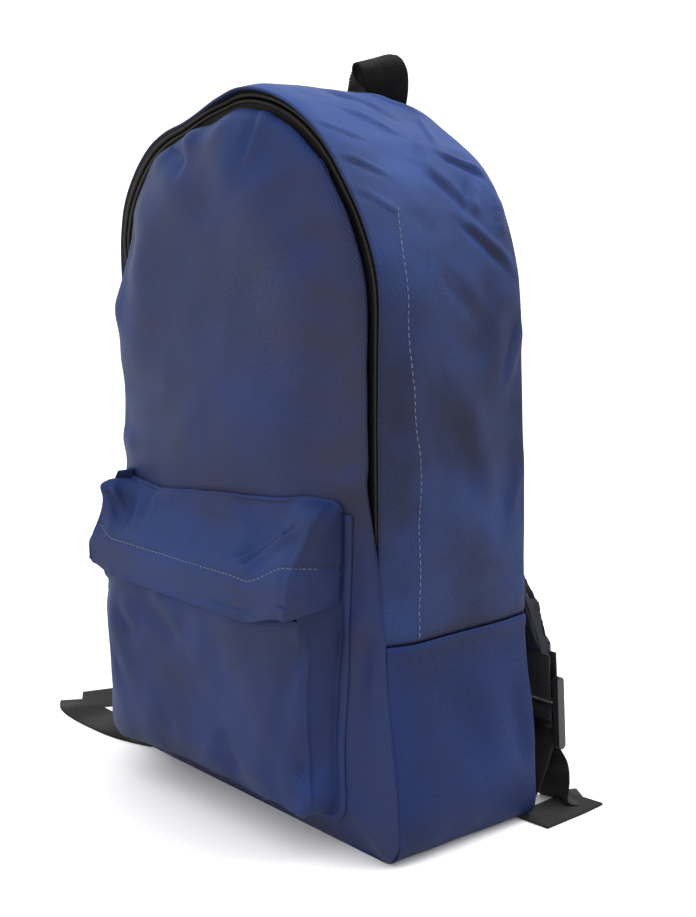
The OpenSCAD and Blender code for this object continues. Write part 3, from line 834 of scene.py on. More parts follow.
def make_gusset():
    """The band over the top and down the sides, the base band below it, and their overlapped side seams."""
    whole = refine(gusset_grid, closed=True)
    n = grid_normals(whole, closed=True)
    middle = np.array([0, 0, ARCH_Z * 0.6])
    outward = np.sign(np.einsum("...i,...i", n, whole - middle))
    n = n * outward[..., None]
    across = (whole[..., 1] - Y_FRONT) / (Y_BACK - Y_FRONT)
    free = smooth(across / 0.18) * smooth((1 - across) / 0.12)
    height = whole[..., 2]
    aloft = smooth(height / (20 * MM))
    soft = noise_field(whole, 0.075, 21) * 2.6 + noise_field(whole, 0.028, 23, (1, 1, 0.6)) * 0.9
    whole = push(whole, n, soft * free * aloft)
    top = smooth((height - 0.33) / 0.05)
    fine = noise_field(whole, 0.016, 25, (1, 0.55, 1)) * 1.1
    fine = fine + noise_field(whole, 0.009, 27, (1, 0.5, 1)) * 0.45
    whole = push(whole, n, fine * free * top)
    whole = swell(whole)
    whole = press_folds(whole, n, GUSSET_FOLDS)
    whole[..., 2] = np.maximum(whole[..., 2], 0.3 * MM)
    a = right_seam * FINE
    b = left_seam * FINE
    rolled = np.roll(whole, -a, 0)
    normals = np.roll(n, -a, 0)
    upper = rolled[:b - a + 1].copy()
    upper_n = normals[:b - a + 1]
    lower = np.concatenate([rolled[b - a:], rolled[:1]]).copy()
    lower_n = np.concatenate([normals[b - a:], normals[:1]])
    for rows, lift in ((slice(0, 1), -1.1), (slice(1, 2), -0.6), (slice(2, 3), -0.15)):
        upper[rows] += upper_n[rows] * lift * MM
        last = slice(len(upper) - rows.stop, len(upper) - rows.start)
        upper[last] += upper_n[last] * lift * MM
    for rows, lift in ((slice(0, 1), 0.2), (slice(1, 2), 0.9), (slice(2, 3), 0.7), (slice(3, 4), 0.35)):
        lower[rows] += lower_n[rows] * lift * MM
        last = slice(len(lower) - rows.stop, len(lower) - rows.start)
        lower[last] += lower_n[last] * lift * MM
    upper = add_hem(upper, upper_n)
    stand_for(sheet("gusset_zip", upper, navy_top, "bag", flip=True), "shell_fabric", "zip_gusset")
    stand_for(sheet("gusset_base", lower, navy_base, "bag", flip=True), "shell_fabric", "base_gusset")
    return whole


def add_hem(grid, normals):
    """Turns the gusset's front edge in on itself, so that it shows a rounded double thickness."""
    edge = grid[:, :1]
    n = normals[:, :1]
    forward = np.array([0, -1.0, 0])
    turned = [edge - n * 2.0 * MM - forward * 6 * MM, edge - n * 1.9 * MM]
    turned += [edge - n * 1.1 * MM + forward * 0.8 * MM, edge + forward * 0.35 * MM]
    return np.concatenate(turned + [grid[:, 1:]], 1)


GUSSET_FOLDS = [
    ((98, -56, 389), (110, -30, 376), 1.8, 1.1, 1.0),   # short puckers beside the zip
    ((112, -56, 370), (121, -34, 355), 1.8, 0.9, 1.0),
    ((78, -56, 408), (92, -32, 397), 1.8, 0.9, 1.0),
    ((62, -30, 418), (84, 4, 404), 2.6, 1.4, 0.9),
    ((30, -20, 428), (66, 20, 415), 3.4, 1.4, 0.8),
    ((20, 20, 430), (52, 50, 420), 2.4, 1.8, 0.9),
    ((90, 20, 392), (104, 48, 376), 2.2, 2.2, 0.9),
    ((100, 0, 384), (120, 30, 352), 3.4, 1.6, 0.8),
    ((118, 10, 354), (128, 50, 322), 3.0, 2.0, 0.8),
    ((126, -20, 330), (130, 20, 296), 6.0, 1.4, 0.7),
    ((129, 54, 300), (131, 34, 262), 3.0, 2.0, 0.8),
    ((131, -10, 260), (131, 14, 190), 8.0, 1.8, 0.6),
    ((131, 50, 216), (131, 36, 186), 2.6, 1.4, 0.8),
    ((52, 40, 422), (88, 24, 399), 2.6, 2.0, 0.8),      # folds running to the rear seam
    ((58, 52, 419), (76, 46, 409), 2.0, 2.4, 0.9),
    ((84, 12, 401), (104, -4, 380), 4.0, 1.6, 0.6),
    ((104, 34, 379), (118, 18, 356), 3.2, 2.4, 0.8),
    ((110, 50, 372), (124, 40, 345), 3.0, 2.6, 0.7),
    ((118, -8, 354), (128, -30, 318), 6.0, 1.6, 0.6),
    ((128, 30, 330), (131, 12, 268), 9.0, 2.0, 0.5),
    ((131, -30, 280), (131, -10, 205), 12.0, 1.8, 0.5),
    ((131, 44, 240), (131, 30, 160), 9.0, 1.6, 0.5),
    ((134, -20, 112), (138, 10, 40), 12.0, 2.2, 0.5),
    ((136, 34, 90), (140, 48, 30), 8.0, 2.0, 0.6),
    ((-60, 30, 418), (-92, 12, 394), 3.0, 2.0, 0.8),    # the hidden side, in the same spirit
    ((-108, 30, 374), (-124, 14, 344), 3.4, 2.2, 0.7),
    ((-131, 20, 300), (-131, -10, 220), 10.0, 2.0, 0.5),
    ((-134, -20, 110), (-137, 16, 44), 11.0, 2.0, 0.5),
]
gusset_surface = surface_of(make_gusset(), closed=True)

for side, label in ((1, "right"), (-1, "left")):
    line = curve_through([
        (side * 0.121, -0.034, 0.362), (side * 0.129, -0.0405, 0.335), (side * 0.131, -0.0405, 0.305),
        (side * 0.131, -0.037, 0.260), (side * 0.131, -0.0325, 0.210), (side * 0.131, -0.034, SEAM_Z + 0.002),
    ])
    stitch_line("stitches_side_" + label, line, gusset_surface, pale_thread, "bag", side=(side, 0, 0))

# ---------- main zip ----------

COIL_PITCH = 1.6 * MM
COIL_GAP = 1.4 + 2.1                      # millimetres between the middles of the two rows


def arch_path(inset, step):
    """(x, z) and outward direction over the arch, this far inside the outline, from the right to the left."""
    r = HALF_W - inset
    rise = ARCH_Z - ZIP_END_Z
    half_turn = math.pi * r
    total = 2 * rise + half_turn
    at = np.linspace(0, total, int(total / (step * MM)) + 1)
    turn = np.clip((at - rise) / r, 0, math.pi)
    outward = np.stack([np.cos(turn), np.sin(turn)], 1)
    point = outward * r + [0, ARCH_Z]
    point[:, 1] -= np.maximum(rise - at, 0) + np.maximum(at - rise - half_turn, 0)
    return point, outward


def along_arch(profile, seed, sewn=0):
    """A grid over the arch from a profile of (inset, y) in millimetres. The sewn columns come first and stay
    with the gusset, and the others stay with the chain."""
    path, outward = arch_path(0.0, 3.0)
    grid = np.zeros((len(path), len(profile), 3))
    for k, (inset, y) in enumerate(profile):
        grid[:, k, 0] = path[:, 0] - outward[:, 0] * inset * MM
        grid[:, k, 1] = y * MM
        grid[:, k, 2] = path[:, 1] - outward[:, 1] * inset * MM
    grid[..., 1] += noise_field(grid, 0.03, seed) * 0.25 * MM
    done = swell(grid, chain=True)
    done[:, :sewn] = swell(grid[:, :sewn])
    return done


def coil_row(inset, y_front):
    """One side of a coil chain: a rounded row whose teeth stand out at an even pitch."""
    path, outward = arch_path(inset * MM, 0.4)
    tooth = 0.5 + 0.5 * np.cos(arc_lengths(path) * 2 * math.pi / COIL_PITCH)
    angle = np.linspace(0, 2 * math.pi, 9)[:-1]
    across = np.cos(angle)[None] * (0.85 + 0.25 * tooth[:, None]) * MM
    forward = np.sin(angle)[None] * (0.55 + 0.35 * tooth[:, None]) * MM
    x = path[:, :1] + outward[:, :1] * across
    z = path[:, 1:] + outward[:, 1:] * across
    grid = swell(np.stack([x, y_front + 0.9 * MM - forward, z], -1), chain=True)
    faces, corners = grid_faces(len(path), len(angle), closed_cols=True)
    uvs = np.concatenate([grid_uvs(grid, corners, closed_cols=True), np.zeros((2 * len(angle), 2))])
    return grid, faces + end_caps(len(path), len(angle)), uvs


def make_main_zip():
    """Tape and coil over the arch: the outer row stays on the bag, and the inner row is baked in place on its
    own.
    """
    inset = (HALF_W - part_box("main_coil_outer")[1].x) / MM + 1.05
    inner = inset + COIL_GAP
    tape_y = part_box("main_tape_outer")[0].y / MM
    coil_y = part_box("main_coil_outer")[0].y
    # each profile is (inset, how far behind the tape's front) across the tape
    outer = [(5.2, 15), (5.0, 4), (1.1, 2), (0.9, 0.2), (3.2, 0), (5.5, 0)]
    outer = along_arch([(a, tape_y + b) for a, b in outer], seed=31, sewn=4)
    tape = sheet("zip_tape_outer_cloth", outer, tape_cloth, "bag", thickness=0.5, offset=0)
    stand_for(tape, "zip_tape", "main_tape_outer")
    inside = [(6.6, 0), (9, 0), (12, 0.1), (15.5, 0.3), (19, 0.5), (24, 0.9), (28, 1.3)]
    inside = along_arch([(a, tape_y + b) for a, b in inside], seed=33)
    tape = sheet("zip_tape_inner_cloth", inside, tape_cloth, thickness=0.5, offset=0)
    bend_with_front(tape)
    stand_for(tape, "zip_tape", "main_tape_inner_lower", "main_tape_inner_upper")
    coil = join_meshes("zip_teeth_outer", [coil_row(inset, coil_y)], coil_plastic, "bag")
    stand_for(coil, "zip_coil", "main_coil_outer")
    coil = join_meshes("zip_teeth_inner", [coil_row(inner, coil_y)], coil_plastic)
    bend_with_front(coil)
    stand_for(coil, "zip_coil", "main_coil_inner_lower", "main_coil_inner_upper")


make_main_zip()

# ---------- inside: bindings, lining, foam ----------


def even_inset(inset):
    """The same inset in millimetres at every height, as face_grid and edge_distance take it."""
    return lambda z: inset * MM + 0.0 * z


def make_binding(name, node, z_top=None):
    """Folded tape over the raw edges of a seam, following the bag's outline inside it."""
    lo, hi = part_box(node)
    outer = face_grid(even_inset(4.6))
    ring = border(len(outer), COLS)
    outline = outer[ring[:, 0], ring[:, 1]]
    if z_top is None:
        outline = np.concatenate([outline, outline[:1]])
    else:
        start = int(np.argmax(outline[:, 1]))
        outline = np.roll(outline, -start, 0)
        outline = outline[outline[:, 1] < z_top]
    columns = np.linspace(lo.y, hi.y, 4)
    grid = np.stack([np.repeat(outline[:, :1], 4, 1), np.repeat(columns[None], len(outline), 0),
                     np.repeat(outline[:, 1:], 4, 1)], -1)
    grid = swell(grid)
    piece = sheet(name, grid, binding_cloth, "bag", thickness=1.3, offset=0)
    stand_for(piece, "binding_tape", node)


make_binding("binding_rear", "rear_seam_binding")
make_binding("binding_front", "front_seam_binding", z_top=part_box("front_seam_binding")[1].z)


def back_sheet(inset, y, ripple, seed):
    """A fine grid over the bag's back outline at this depth."""
    xz = face_grid(even_inset(inset))
    grid = np.stack([xz[..., 0], np.full(xz.shape[:2], y), xz[..., 1]], -1)
    grid = refine(grid, 2, 2)
    inside = smooth(edge_distance(grid[..., [0, 2]], even_inset(inset)) / (18 * MM))
    grid[..., 1] += noise_field(grid, 0.05, seed) * ripple * MM * inside
    return swell(grid), inside


def make_back():
    """Padded back panel, its foam and its lining."""
    grid, inside = back_sheet(0.4, Y_BACK - 0.3 * MM, 0.0, 41)
    hollow = smooth((STRAP_TOP_Z - 14 * MM - grid[..., 2]) / (150 * MM))
    plump = noise_field(grid, 0.06, 43) * 0.7 + noise_field(grid, 0.022, 45) * 0.25
    grid[..., 1] += (3.4 * inside * hollow + plump * inside * np.maximum(hollow, 0.1)) * MM
    piece = sheet("back_panel_cloth", grid, navy_pocket, "bag", thickness=0.8, uv=grid[..., [0, 2]])
    stand_for(piece, "shell_fabric", "back_panel")
    lo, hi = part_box("back_foam")
    grid, _ = back_sheet(8.0, hi.y - 0.6 * MM, 0.0, 47)
    piece = sheet("pad_foam_sheet", grid, pad_foam, "bag", thickness=(hi.y - lo.y) / MM - 1.2)
    round_edges(piece, 1.5)
    stand_for(piece, "foam", "back_foam")
    lo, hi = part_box("back_lining")
    grid, _ = back_sheet(2.6, lo.y, 1.0, 49)
    grid[..., 1] = np.minimum(grid[..., 1], lo.y + 0.3 * MM)
    piece = sheet("back_lining_cloth", grid, lining_cloth, "bag", thickness=0.5, offset=0)
    stand_for(piece, "lining_fabric", "back_lining")


def round_edges(piece, width):
    """Bevels a piece's sharp edges."""
    bevel = piece.modifiers.new("round", "BEVEL")
    bevel.width = width * MM
    bevel.segments = 3
    bevel.limit_method = "ANGLE"
    bevel.angle_limit = math.radians(40)
    apply_modifiers(piece)
    piece.data.polygons.foreach_set("use_smooth", [True] * len(piece.data.polygons))


STRAP_TOP_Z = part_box("back_yoke")[0].z - MM
make_back()


def make_yoke():
    """The panel above the straps, with a turned and twice-stitched lower edge."""
    z0 = STRAP_TOP_Z + 1 * MM
    r = HALF_W - 4 * MM
    count = 61
    u = np.linspace(-1, 1, count)
    rows = []
    for t in np.linspace(0, 1, 22):
        z = z0 + (ARCH_Z + r - 1.5 * MM - z0) * (1 - (1 - t) ** 1.8)
        half = math.sqrt(r * r - (z - ARCH_Z) ** 2)
        rows.append(np.stack([u * half, np.full(count, Y_BACK + 0.9 * MM), np.full(count, z)], 1))
    grid = swell(np.array(rows))
    grid[..., 1] += noise_field(grid, 0.03, 51) * 0.3 * MM
    turned = grid[:1] + np.array([[[0, -0.9 * MM, 0.0]]])
    inner = grid[:1] + np.array([[[0, -0.9 * MM, 5 * MM]]])
    grid = np.concatenate([inner, turned, grid[:1] + np.array([[[0, 0, -0.5 * MM]]]), grid[1:]])
    piece = sheet("yoke_cloth", grid, navy_top, "bag", thickness=0.6, uv=grid[..., [0, 2]])
    stand_for(piece, "shell_fabric", "back_yoke")
    surface = surface_of(grid)
    for k, up in enumerate((2.4, 8.0)):
        z = z0 + up * MM
        half = math.sqrt(r * r - (z - ARCH_Z) ** 2) - 14 * MM
        line = [(x, Y_BACK + 2 * MM, z) for x in np.linspace(-half, half, 60)]
        stitch_line("stitches_yoke_%d" % (k + 1), line, surface, dark_thread, "bag", side=(0, 1, 0))


make_yoke()

# ---------- front pocket ----------

POCKET_COLS = 37
POCKET_FLANGE = [(1.6, 0.6), (3.4, 2.2), (6.4, 2.0), (6.8, 0.5)]    # (outwards, off the panel) in millimetres
POCKET_BELLY = 2.5 * MM                   # how much narrower the stuffed face is below the zip
EAR_Z = POCKET_TOP - 2.5 * MM             # top of the side walls, at the hood's box corners
ZIP_EDGE_Z = POCKET_ZIP_Z - 6.6 * MM      # top edge of the pocket's face, under the zip


def ear_y(z):
    """Front edge of the pocket's side wall: it slopes back from the zip to the box corner at the top."""
    up = np.clip((z - POCKET_ZIP_Z - 18 * MM) / (EAR_Z - POCKET_ZIP_Z - 18 * MM), 0, 1)
    return POCKET_Y + (0.5 + 14.5 * up ** 1.2) * MM


def near_zip(z):
    """0 low on the pocket's face, and 1 at its zip."""
    return smooth((z - ZIP_EDGE_Z + 26 * MM) / (26 * MM))


def shape_pocket():
    """The pocket's face and side walls as two grids that share an edge, filled by a cloth simulation."""
    half = POCKET_HALF
    u = np.linspace(-1, 1, POCKET_COLS)
    face = []
    radius = 12 * MM
    face_y = POCKET_Y + 4.5 * MM
    for t in np.arange(3) / 3 * math.pi / 2:
        face.append((POCKET_Z0 + radius * (1 - math.cos(t)), half - radius * (1 - math.sin(t))))
    for z in np.linspace(POCKET_Z0 + radius, ZIP_EDGE_Z, 21):
        face.append((z, half))
    rows = len(face)
    grid = np.zeros((rows, POCKET_COLS, 3))
    for r, (z, h) in enumerate(face):
        zip_near = near_zip(z)
        y = face_y * (1 - zip_near) + (POCKET_Y + 0.2 * MM) * zip_near
        grid[r, :, 0] = u * (h - POCKET_BELLY * (1 - zip_near))
        grid[r, :, 1] = y + 1.5 * MM * np.abs(u) ** 6 - 3 * MM * smooth((-u - 0.4) / 0.5) * (1 - zip_near)
        grid[r, :, 2] = z + (POCKET_BELLY if r == 0 else 0)
    extra = np.linspace(EAR_Z, ZIP_EDGE_Z, 10)[:-1]
    # (x, y, z, 1 along the bottom) down the right side, along the bottom and up the left side
    edge = [(half, ear_y(z), z, 0) for z in extra]
    edge += [tuple(grid[r, -1]) + (0,) for r in range(rows - 1, 0, -1)]
    edge += [tuple(grid[0, c]) + (1,) for c in range(POCKET_COLS - 1, -1, -1)]
    edge += [tuple(grid[r, 0]) + (0,) for r in range(1, rows)]
    edge += [(-half, ear_y(z), z, 0) for z in extra[::-1]]
    edge = np.array(edge)
    wall_cols = 8
    wall = np.zeros((len(edge), wall_cols + 4, 3))
    for k, (x, y, z, under) in enumerate(edge):
        low = z < POCKET_Z0 + radius
        out = np.array([x, z]) - np.array([math.copysign(half - radius, x), POCKET_Z0 + radius])
        if abs(x) > half - radius and low:
            direction = out / max(np.linalg.norm(out), 1e-9)
        elif low and under:
            direction = np.array([0.0, -1.0])
        else:
            direction = np.array([math.copysign(1.0, x), 0.0])
        shift = 0.0 if z > ZIP_EDGE_Z else POCKET_BELLY * (1 - near_zip(z))
        px, pz = x + direction[0] * shift, z + direction[1] * shift
        base = front_y(px, pz) - 1.2 * MM
        wall[k, 0] = (x, y, z)
        for j in range(1, wall_cols):
            t = (j / (wall_cols - 1)) ** 1.15
            wall[k, j] = (px, y + (base - y) * t, pz)
        for j, (away, lift) in enumerate(POCKET_FLANGE):
            qx, qz = px + direction[0] * away * MM, pz + direction[1] * away * MM
            wall[k, wall_cols + j] = (qx, front_y(qx, qz) - lift * MM, qz)
    offset = grid.shape[0] * grid.shape[1]
    face_quads, _ = grid_faces(rows, POCKET_COLS)
    wall_quads, _ = grid_faces(*wall.shape[:2])
    n_extra = len(extra)
    index = np.arange(len(edge) * wall.shape[1]).reshape(wall.shape[:2]) + offset
    link = index.copy()
    shared = [r * POCKET_COLS + POCKET_COLS - 1 for r in range(rows - 1, 0, -1)]
    shared += list(range(POCKET_COLS - 1, -1, -1))
    shared += [r * POCKET_COLS for r in range(1, rows)]
    link[n_extra:n_extra + len(shared), 0] = shared
    flat = link.ravel()
    faces = [f[::-1] for f in face_quads] + [[int(flat[i]) for i in f] for f in wall_quads]
    pin_face = np.zeros((rows, POCKET_COLS), bool)
    pin_face[-1] = True
    pin_wall = np.zeros(wall.shape[:2], bool)
    pin_wall[:, wall_cols - 1:] = True
    pin_wall[:n_extra] = True
    pin_wall[-n_extra:] = True
    points = np.concatenate([grid.reshape(-1, 3), wall.reshape(-1, 3)])
    pins = np.concatenate([pin_face.ravel(), pin_wall.ravel()])
    done = settle(points, faces, pins, frames=20, pressure=3.5, cap=6.0, growth=0.03)
    new_face = done[:offset].reshape(grid.shape)
    new_face = soften(new_face, grid)
    new_wall = soften(done[offset:].reshape(wall.shape), wall)
    new_wall[n_extra:n_extra + len(shared), 0] = new_face.reshape(-1, 3)[shared]
    return new_face, new_wall, n_extra


POCKET_FOLDS = [
    ((-98, -92, 112), (-72, -96, 62), 6, 2.4, 0.6),
    ((-84, -96, 118), (-60, -97, 96), 5, 2.0, 0.6),
    ((-50, -97, 122), (-8, -98, 104), 7, 2.4, 0.7),
    ((10, -98, 112), (60, -97, 92), 14, 1.6, 0.5),
    ((96, -92, 120), (86, -95, 66), 7, 2.4, 0.7),
    ((104, -84, 90), (98, -90, 36), 5, 1.8, 0.6),
    ((44, -94, 34), (24, -97, 62), 9, 2.6, 0.6),
    ((-40, -94, 32), (-20, -97, 58), 10, 1.8, 0.5),
    ((76, -92, 32), (84, -96, 60), 8, 1.8, 0.5),
    ((-20, -98, 80), (70, -98, 50), 24, 1.8, 0.4),
]


def make_pocket():
    """The pocket's bag: face, side walls and the flange that sews it to the front panel."""
    face, wall, n_extra = shape_pocket()
    face = refine(face)
    wall = refine(wall)
    n = grid_normals(face)
    n *= np.sign(-n[..., 1:2])
    inside = smooth((ZIP_EDGE_Z - face[..., 2]) / (20 * MM))
    wavy = noise_field(face, 0.05, 61) * 2.2 + noise_field(face, 0.02, 63) * 0.7
    face = push(face, n, wavy * inside)
    face = press_folds(face, n, POCKET_FOLDS)
    rows, cols = face.shape[:2]
    start = n_extra * FINE
    edge = [face[r, -1] for r in range(rows - 1, 0, -1)]
    edge += [face[0, c] for c in range(cols - 1, -1, -1)]
    edge = np.array(edge + [face[r, 0] for r in range(1, rows)])
    old = wall[start:start + len(edge), 0].copy()
    fade = np.clip(1 - np.arange(wall.shape[1]) / (5 * FINE), 0, 1)[None, :, None]
    wall[start:start + len(edge)] += (edge - old)[:, None] * fade
    wn = grid_normals(wall)
    free = smooth(np.arange(wall.shape[1]) / 6) * smooth((7 * FINE - np.arange(wall.shape[1])) / 6)
    wall = push(wall, wn, noise_field(wall, 0.03, 65) * 0.4 * free[None])
    wall[start:start + len(edge), 0] = edge
    f_faces, f_corners = grid_faces(rows, cols, flip=True)
    w_faces, w_corners = grid_faces(*wall.shape[:2])
    f_uv = face[..., [0, 2]][f_corners[:, 0], f_corners[:, 1]]
    w_uv = grid_uvs(wall, w_corners)[:, ::-1]
    piece = join_meshes("pocket_bag", [(face, f_faces, f_uv), (wall, w_faces, w_uv)], navy_pocket)
    weld(piece)
    thicken(piece, 0.8)
    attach(piece, "bag")
    stand_for(piece, "shell_fabric", "pocket_front")


def weld(piece):
    """Joins points that lie on each other."""
    mod = piece.modifiers.new("weld", "WELD")
    mod.merge_threshold = 0.02 * MM
    apply_modifiers(piece)


make_pocket()


HOOD_ROWS = 31
STITCH_SHARE = 0.62                       # where the line of stitches lies between the seam and the hem


def hood_profile(*knots):
    """(y, z) at the hood's rows through knots of (row share, y, z)."""
    t = np.linspace(0, 1, HOOD_ROWS)
    dense = curve_through(knots, 10)
    return np.interp(t, dense[:, 0], dense[:, 1]), np.interp(t, dense[:, 0], dense[:, 2])


def shape_hood():
    """The pocket's hood: one sheet that sags from the top seam between two stiff box corners to the stitch
    line, hangs down as the storm flap and wraps back to the side seams."""
    y_mid, z_mid = hood_profile(
        (0, -70, 198), (0.06, -73, 196), (0.25, -78, 188), (0.45, -86, 174), (STITCH_SHARE, -96.5, 159.5),
        (0.8, -101, 147.5), (1, -103.5, 135.5))
    y_right, z_right = hood_profile(
        (0, -60, 199), (0.1, -66, 199), (0.25, -76, 198), (0.38, -84, 194.5), (0.48, -89.5, 185),
        (STITCH_SHARE, -97, 172), (0.8, -101.5, 158.5), (1, -103.5, 143.5))
    y_left, z_left = hood_profile(
        (0, -60, 196), (0.1, -68, 196), (0.25, -82, 194.5), (0.36, -94, 190), (0.48, -93.5, 179),
        (STITCH_SHARE, -95, 165.5), (0.8, -97.5, 153), (1, -98.5, 140))
    across = 47
    wrap = 9
    grid = np.zeros((HOOD_ROWS, across + 2 * wrap, 3))
    u = np.linspace(-1, 1, across)
    share = np.linspace(0, 1, HOOD_ROWS)
    half = POCKET_HALF + 0.6 * MM
    for c, uc in enumerate(u):
        x = uc * half
        if uc > 0:
            near = smooth((uc - 0.60) / 0.36)
            y_end, z_end = y_right, z_right
        else:
            near = smooth((-uc - 0.76) / 0.24)
            y_end, z_end = y_left, z_left
        y = y_mid * (1 - near) + y_end * near
        z = z_mid * (1 - near) + z_end * near
        z = z + np.interp(uc, (-1, -0.57, 0.16, 0.82, 1), (-5, -7, 0, 5, 4)) * (1 - smooth(share / 0.5))
        seam_y = front_y(x * 0.985, z[0] * MM) / MM - 0.8
        y = y + (seam_y - y[0]) * (1 - share / 0.35).clip(0, 1)
        x_rows = x * (0.955 + 0.045 * smooth(share / 0.4))
        grid[:, wrap + c] = np.stack([x_rows, y * MM, z * MM], 1)
    for side in (0, 1):
        corner = grid[:, wrap + (across - 1 if side else 0)]
        sign = 1 if side else -1
        far_top = 199 if side else 190
        far_z = (far_top - (far_top - 146) * smooth(share * 0.9)) * MM
        far_x = sign * (POCKET_HALF + 1.6 * MM)
        for j in range(1, wrap + 1):
            t = j / wrap
            far_y = np.array([front_y(far_x, z) for z in far_z]) - 2.6 * MM
            place = corner * (1 - t)
            place[:, 0] += far_x * t + sign * 1.6 * MM * math.sin(math.pi * t)
            place[:, 1] += far_y * t
            place[:, 2] += far_z * t
            column = wrap + across - 1 + j if side else wrap - j
            grid[:, column] = place
    faces, _ = grid_faces(*grid.shape[:2])
    pins = np.zeros(grid.shape[:2], bool)
    pins[0] = True
    pins[:, 0] = True
    pins[:, -1] = True
    ear_row = int(0.38 * (HOOD_ROWS - 1))
    pins[:ear_row + 2, wrap] = True
    pins[:ear_row + 2, wrap + across - 1] = True
    stitch_row = int(round(STITCH_SHARE * (HOOD_ROWS - 1)))
    pins[stitch_row, wrap:wrap + across:4] = True
    pins[-1] = True
    done = settle(grid, faces, pins, frames=20, pressure=0.8, cap=2.0, growth=0.02)
    done = soften(done, grid)
    done[..., 1] = np.minimum(done[..., 1], grid[..., 1] + 3.0 * MM)
    return done, wrap, across, stitch_row


HOOD_FOLDS = [
    ((95, -85, 195), (50, -92, 161), 2.8, 4.2, 1.0),    # the folds of the right box corner
    ((80, -83, 191), (42, -90, 164), 2.6, 2.6, 0.9),
    ((64, -95, 160), (36, -97, 154), 3.0, 1.2, 0.7),
    ((-99, -90, 191), (-82, -90, 168), 2.4, 2.6, 0.8),  # puckers below the left box corner
    ((-88, -82, 189), (-72, -90, 166), 3.0, 2.4, 0.8),
    ((-68, -78, 188), (-60, -88, 170), 4.0, 1.6, 0.8),
    ((-100, -96, 168), (-90, -99, 150), 4.0, 1.2, 0.7),
]


POCKET_SLIDE = 178 * MM                   # travel of the pocket's slider
SLIDER_ROOM = 2.2 * MM                    # between the slider or its tab and the flap


def clear_of_slider(grid):
    """Lifts the flap off the pocket zip's slider and pull tab, all along their travel."""
    lo_a, hi_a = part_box("pocket_slider")
    lo_b, hi_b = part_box("pocket_puller")
    lo = np.minimum(lo_a, lo_b)
    lo[0] -= POCKET_SLIDE
    hi = np.maximum(hi_a, hi_b)
    x, y, z = grid[..., 0], grid[..., 1], grid[..., 2]
    beside = np.maximum(lo[0] - x, 0) / (14 * MM) + np.maximum(x - hi[0], 0) / (5 * MM)
    above = np.maximum(np.maximum(lo[2] - z, z - hi[2]), 0) / (14 * MM)
    share = bump(np.hypot(beside, above))
    out = grid.copy()
    out[..., 1] += np.clip(lo[1] - SLIDER_ROOM - y, -20 * MM, 0) * share
    return out


def make_hood():
    """Hood and storm flap, its line of stitches, and the band that holds the pocket zip's upper tape."""
    coarse, wrap, across, stitch_row = shape_hood()
    grid = refine(coarse)
    n = grid_normals(grid)
    centre = np.array([0, -0.06, 0.15])
    n *= np.sign(np.einsum("...i,...i", n, grid - centre))[..., None]
    free = smooth(np.arange(grid.shape[0]) / 9)[:, None]
    soft = noise_field(grid, 0.04, 71) * 0.8 + noise_field(grid, 0.016, 73) * 0.2
    hanging = 1 - 0.75 * smooth((np.arange(grid.shape[0]) / (grid.shape[0] - 1) - 0.8) / 0.2)[:, None]
    grid = push(grid, n, soft * free * hanging)
    grid = press_folds(grid, n, HOOD_FOLDS)
    grid = clear_of_slider(grid)
    row = stitch_row * FINE
    across_rows = np.arange(grid.shape[0])[:, None]
    groove = bump((across_rows - row) / 1.6) * 0.9
    grid = push(grid, n, -groove)
    lip = bump((across_rows - 3) / 2.2) * 1.3
    grid = push(grid, n, lip)
    edge = grid[-1:]
    # the hem is turned under along a direction evened out over 25 points
    padded = np.pad(n[-1], ((12, 12), (0, 0)), "edge")
    edge_n = np.stack([np.convolve(padded[:, k], np.ones(25) / 25, "valid") for k in range(3)], -1)[None]
    hem = [grid[:-1], edge + edge_n * 0.2 * MM, edge - UP * 0.7 * MM - edge_n * 0.6 * MM]
    hem += [edge - edge_n * 1.5 * MM, edge - edge_n * 1.6 * MM + UP * 7 * MM]
    full = np.concatenate(hem)
    uv_rows = arc_lengths(full[:, full.shape[1] // 2])
    uv_cols = arc_lengths(full[row])
    uv = np.stack(np.meshgrid(uv_cols, -uv_rows), -1)
    piece = sheet("pocket_hood", full, navy_pocket, thickness=0.8, uv=uv)
    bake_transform(piece)
    stand_for(piece, "shell_fabric", "pocket_top", "pocket_flap")
    surface = surface_of(grid)
    line = grid[row, wrap * FINE - 12:(wrap + across - 1) * FINE + 16]
    stitch_line("stitches_hood", line, surface, pale_thread, "bag", pitch=3.8, side=(0, -1, 0))
    stitched = grid[row, wrap * FINE + 3:(wrap + across - 1) * FINE - 3]
    low = stitched * [1, 0, 0] + [0, POCKET_Y + 0.1 * MM, POCKET_ZIP_Z + 6.8 * MM]
    high = stitched + np.array([0, 2.0 * MM, -0.5 * MM])
    high[:, 1] = np.maximum(high[:, 1], POCKET_Y + 0.1 * MM)
    band = np.stack([low * (1 - t) + high * t for t in np.linspace(0, 1, 5)])
    piece = sheet("pocket_zip_band", band, navy_pocket, "bag", thickness=0.8, flip=True)


make_hood()


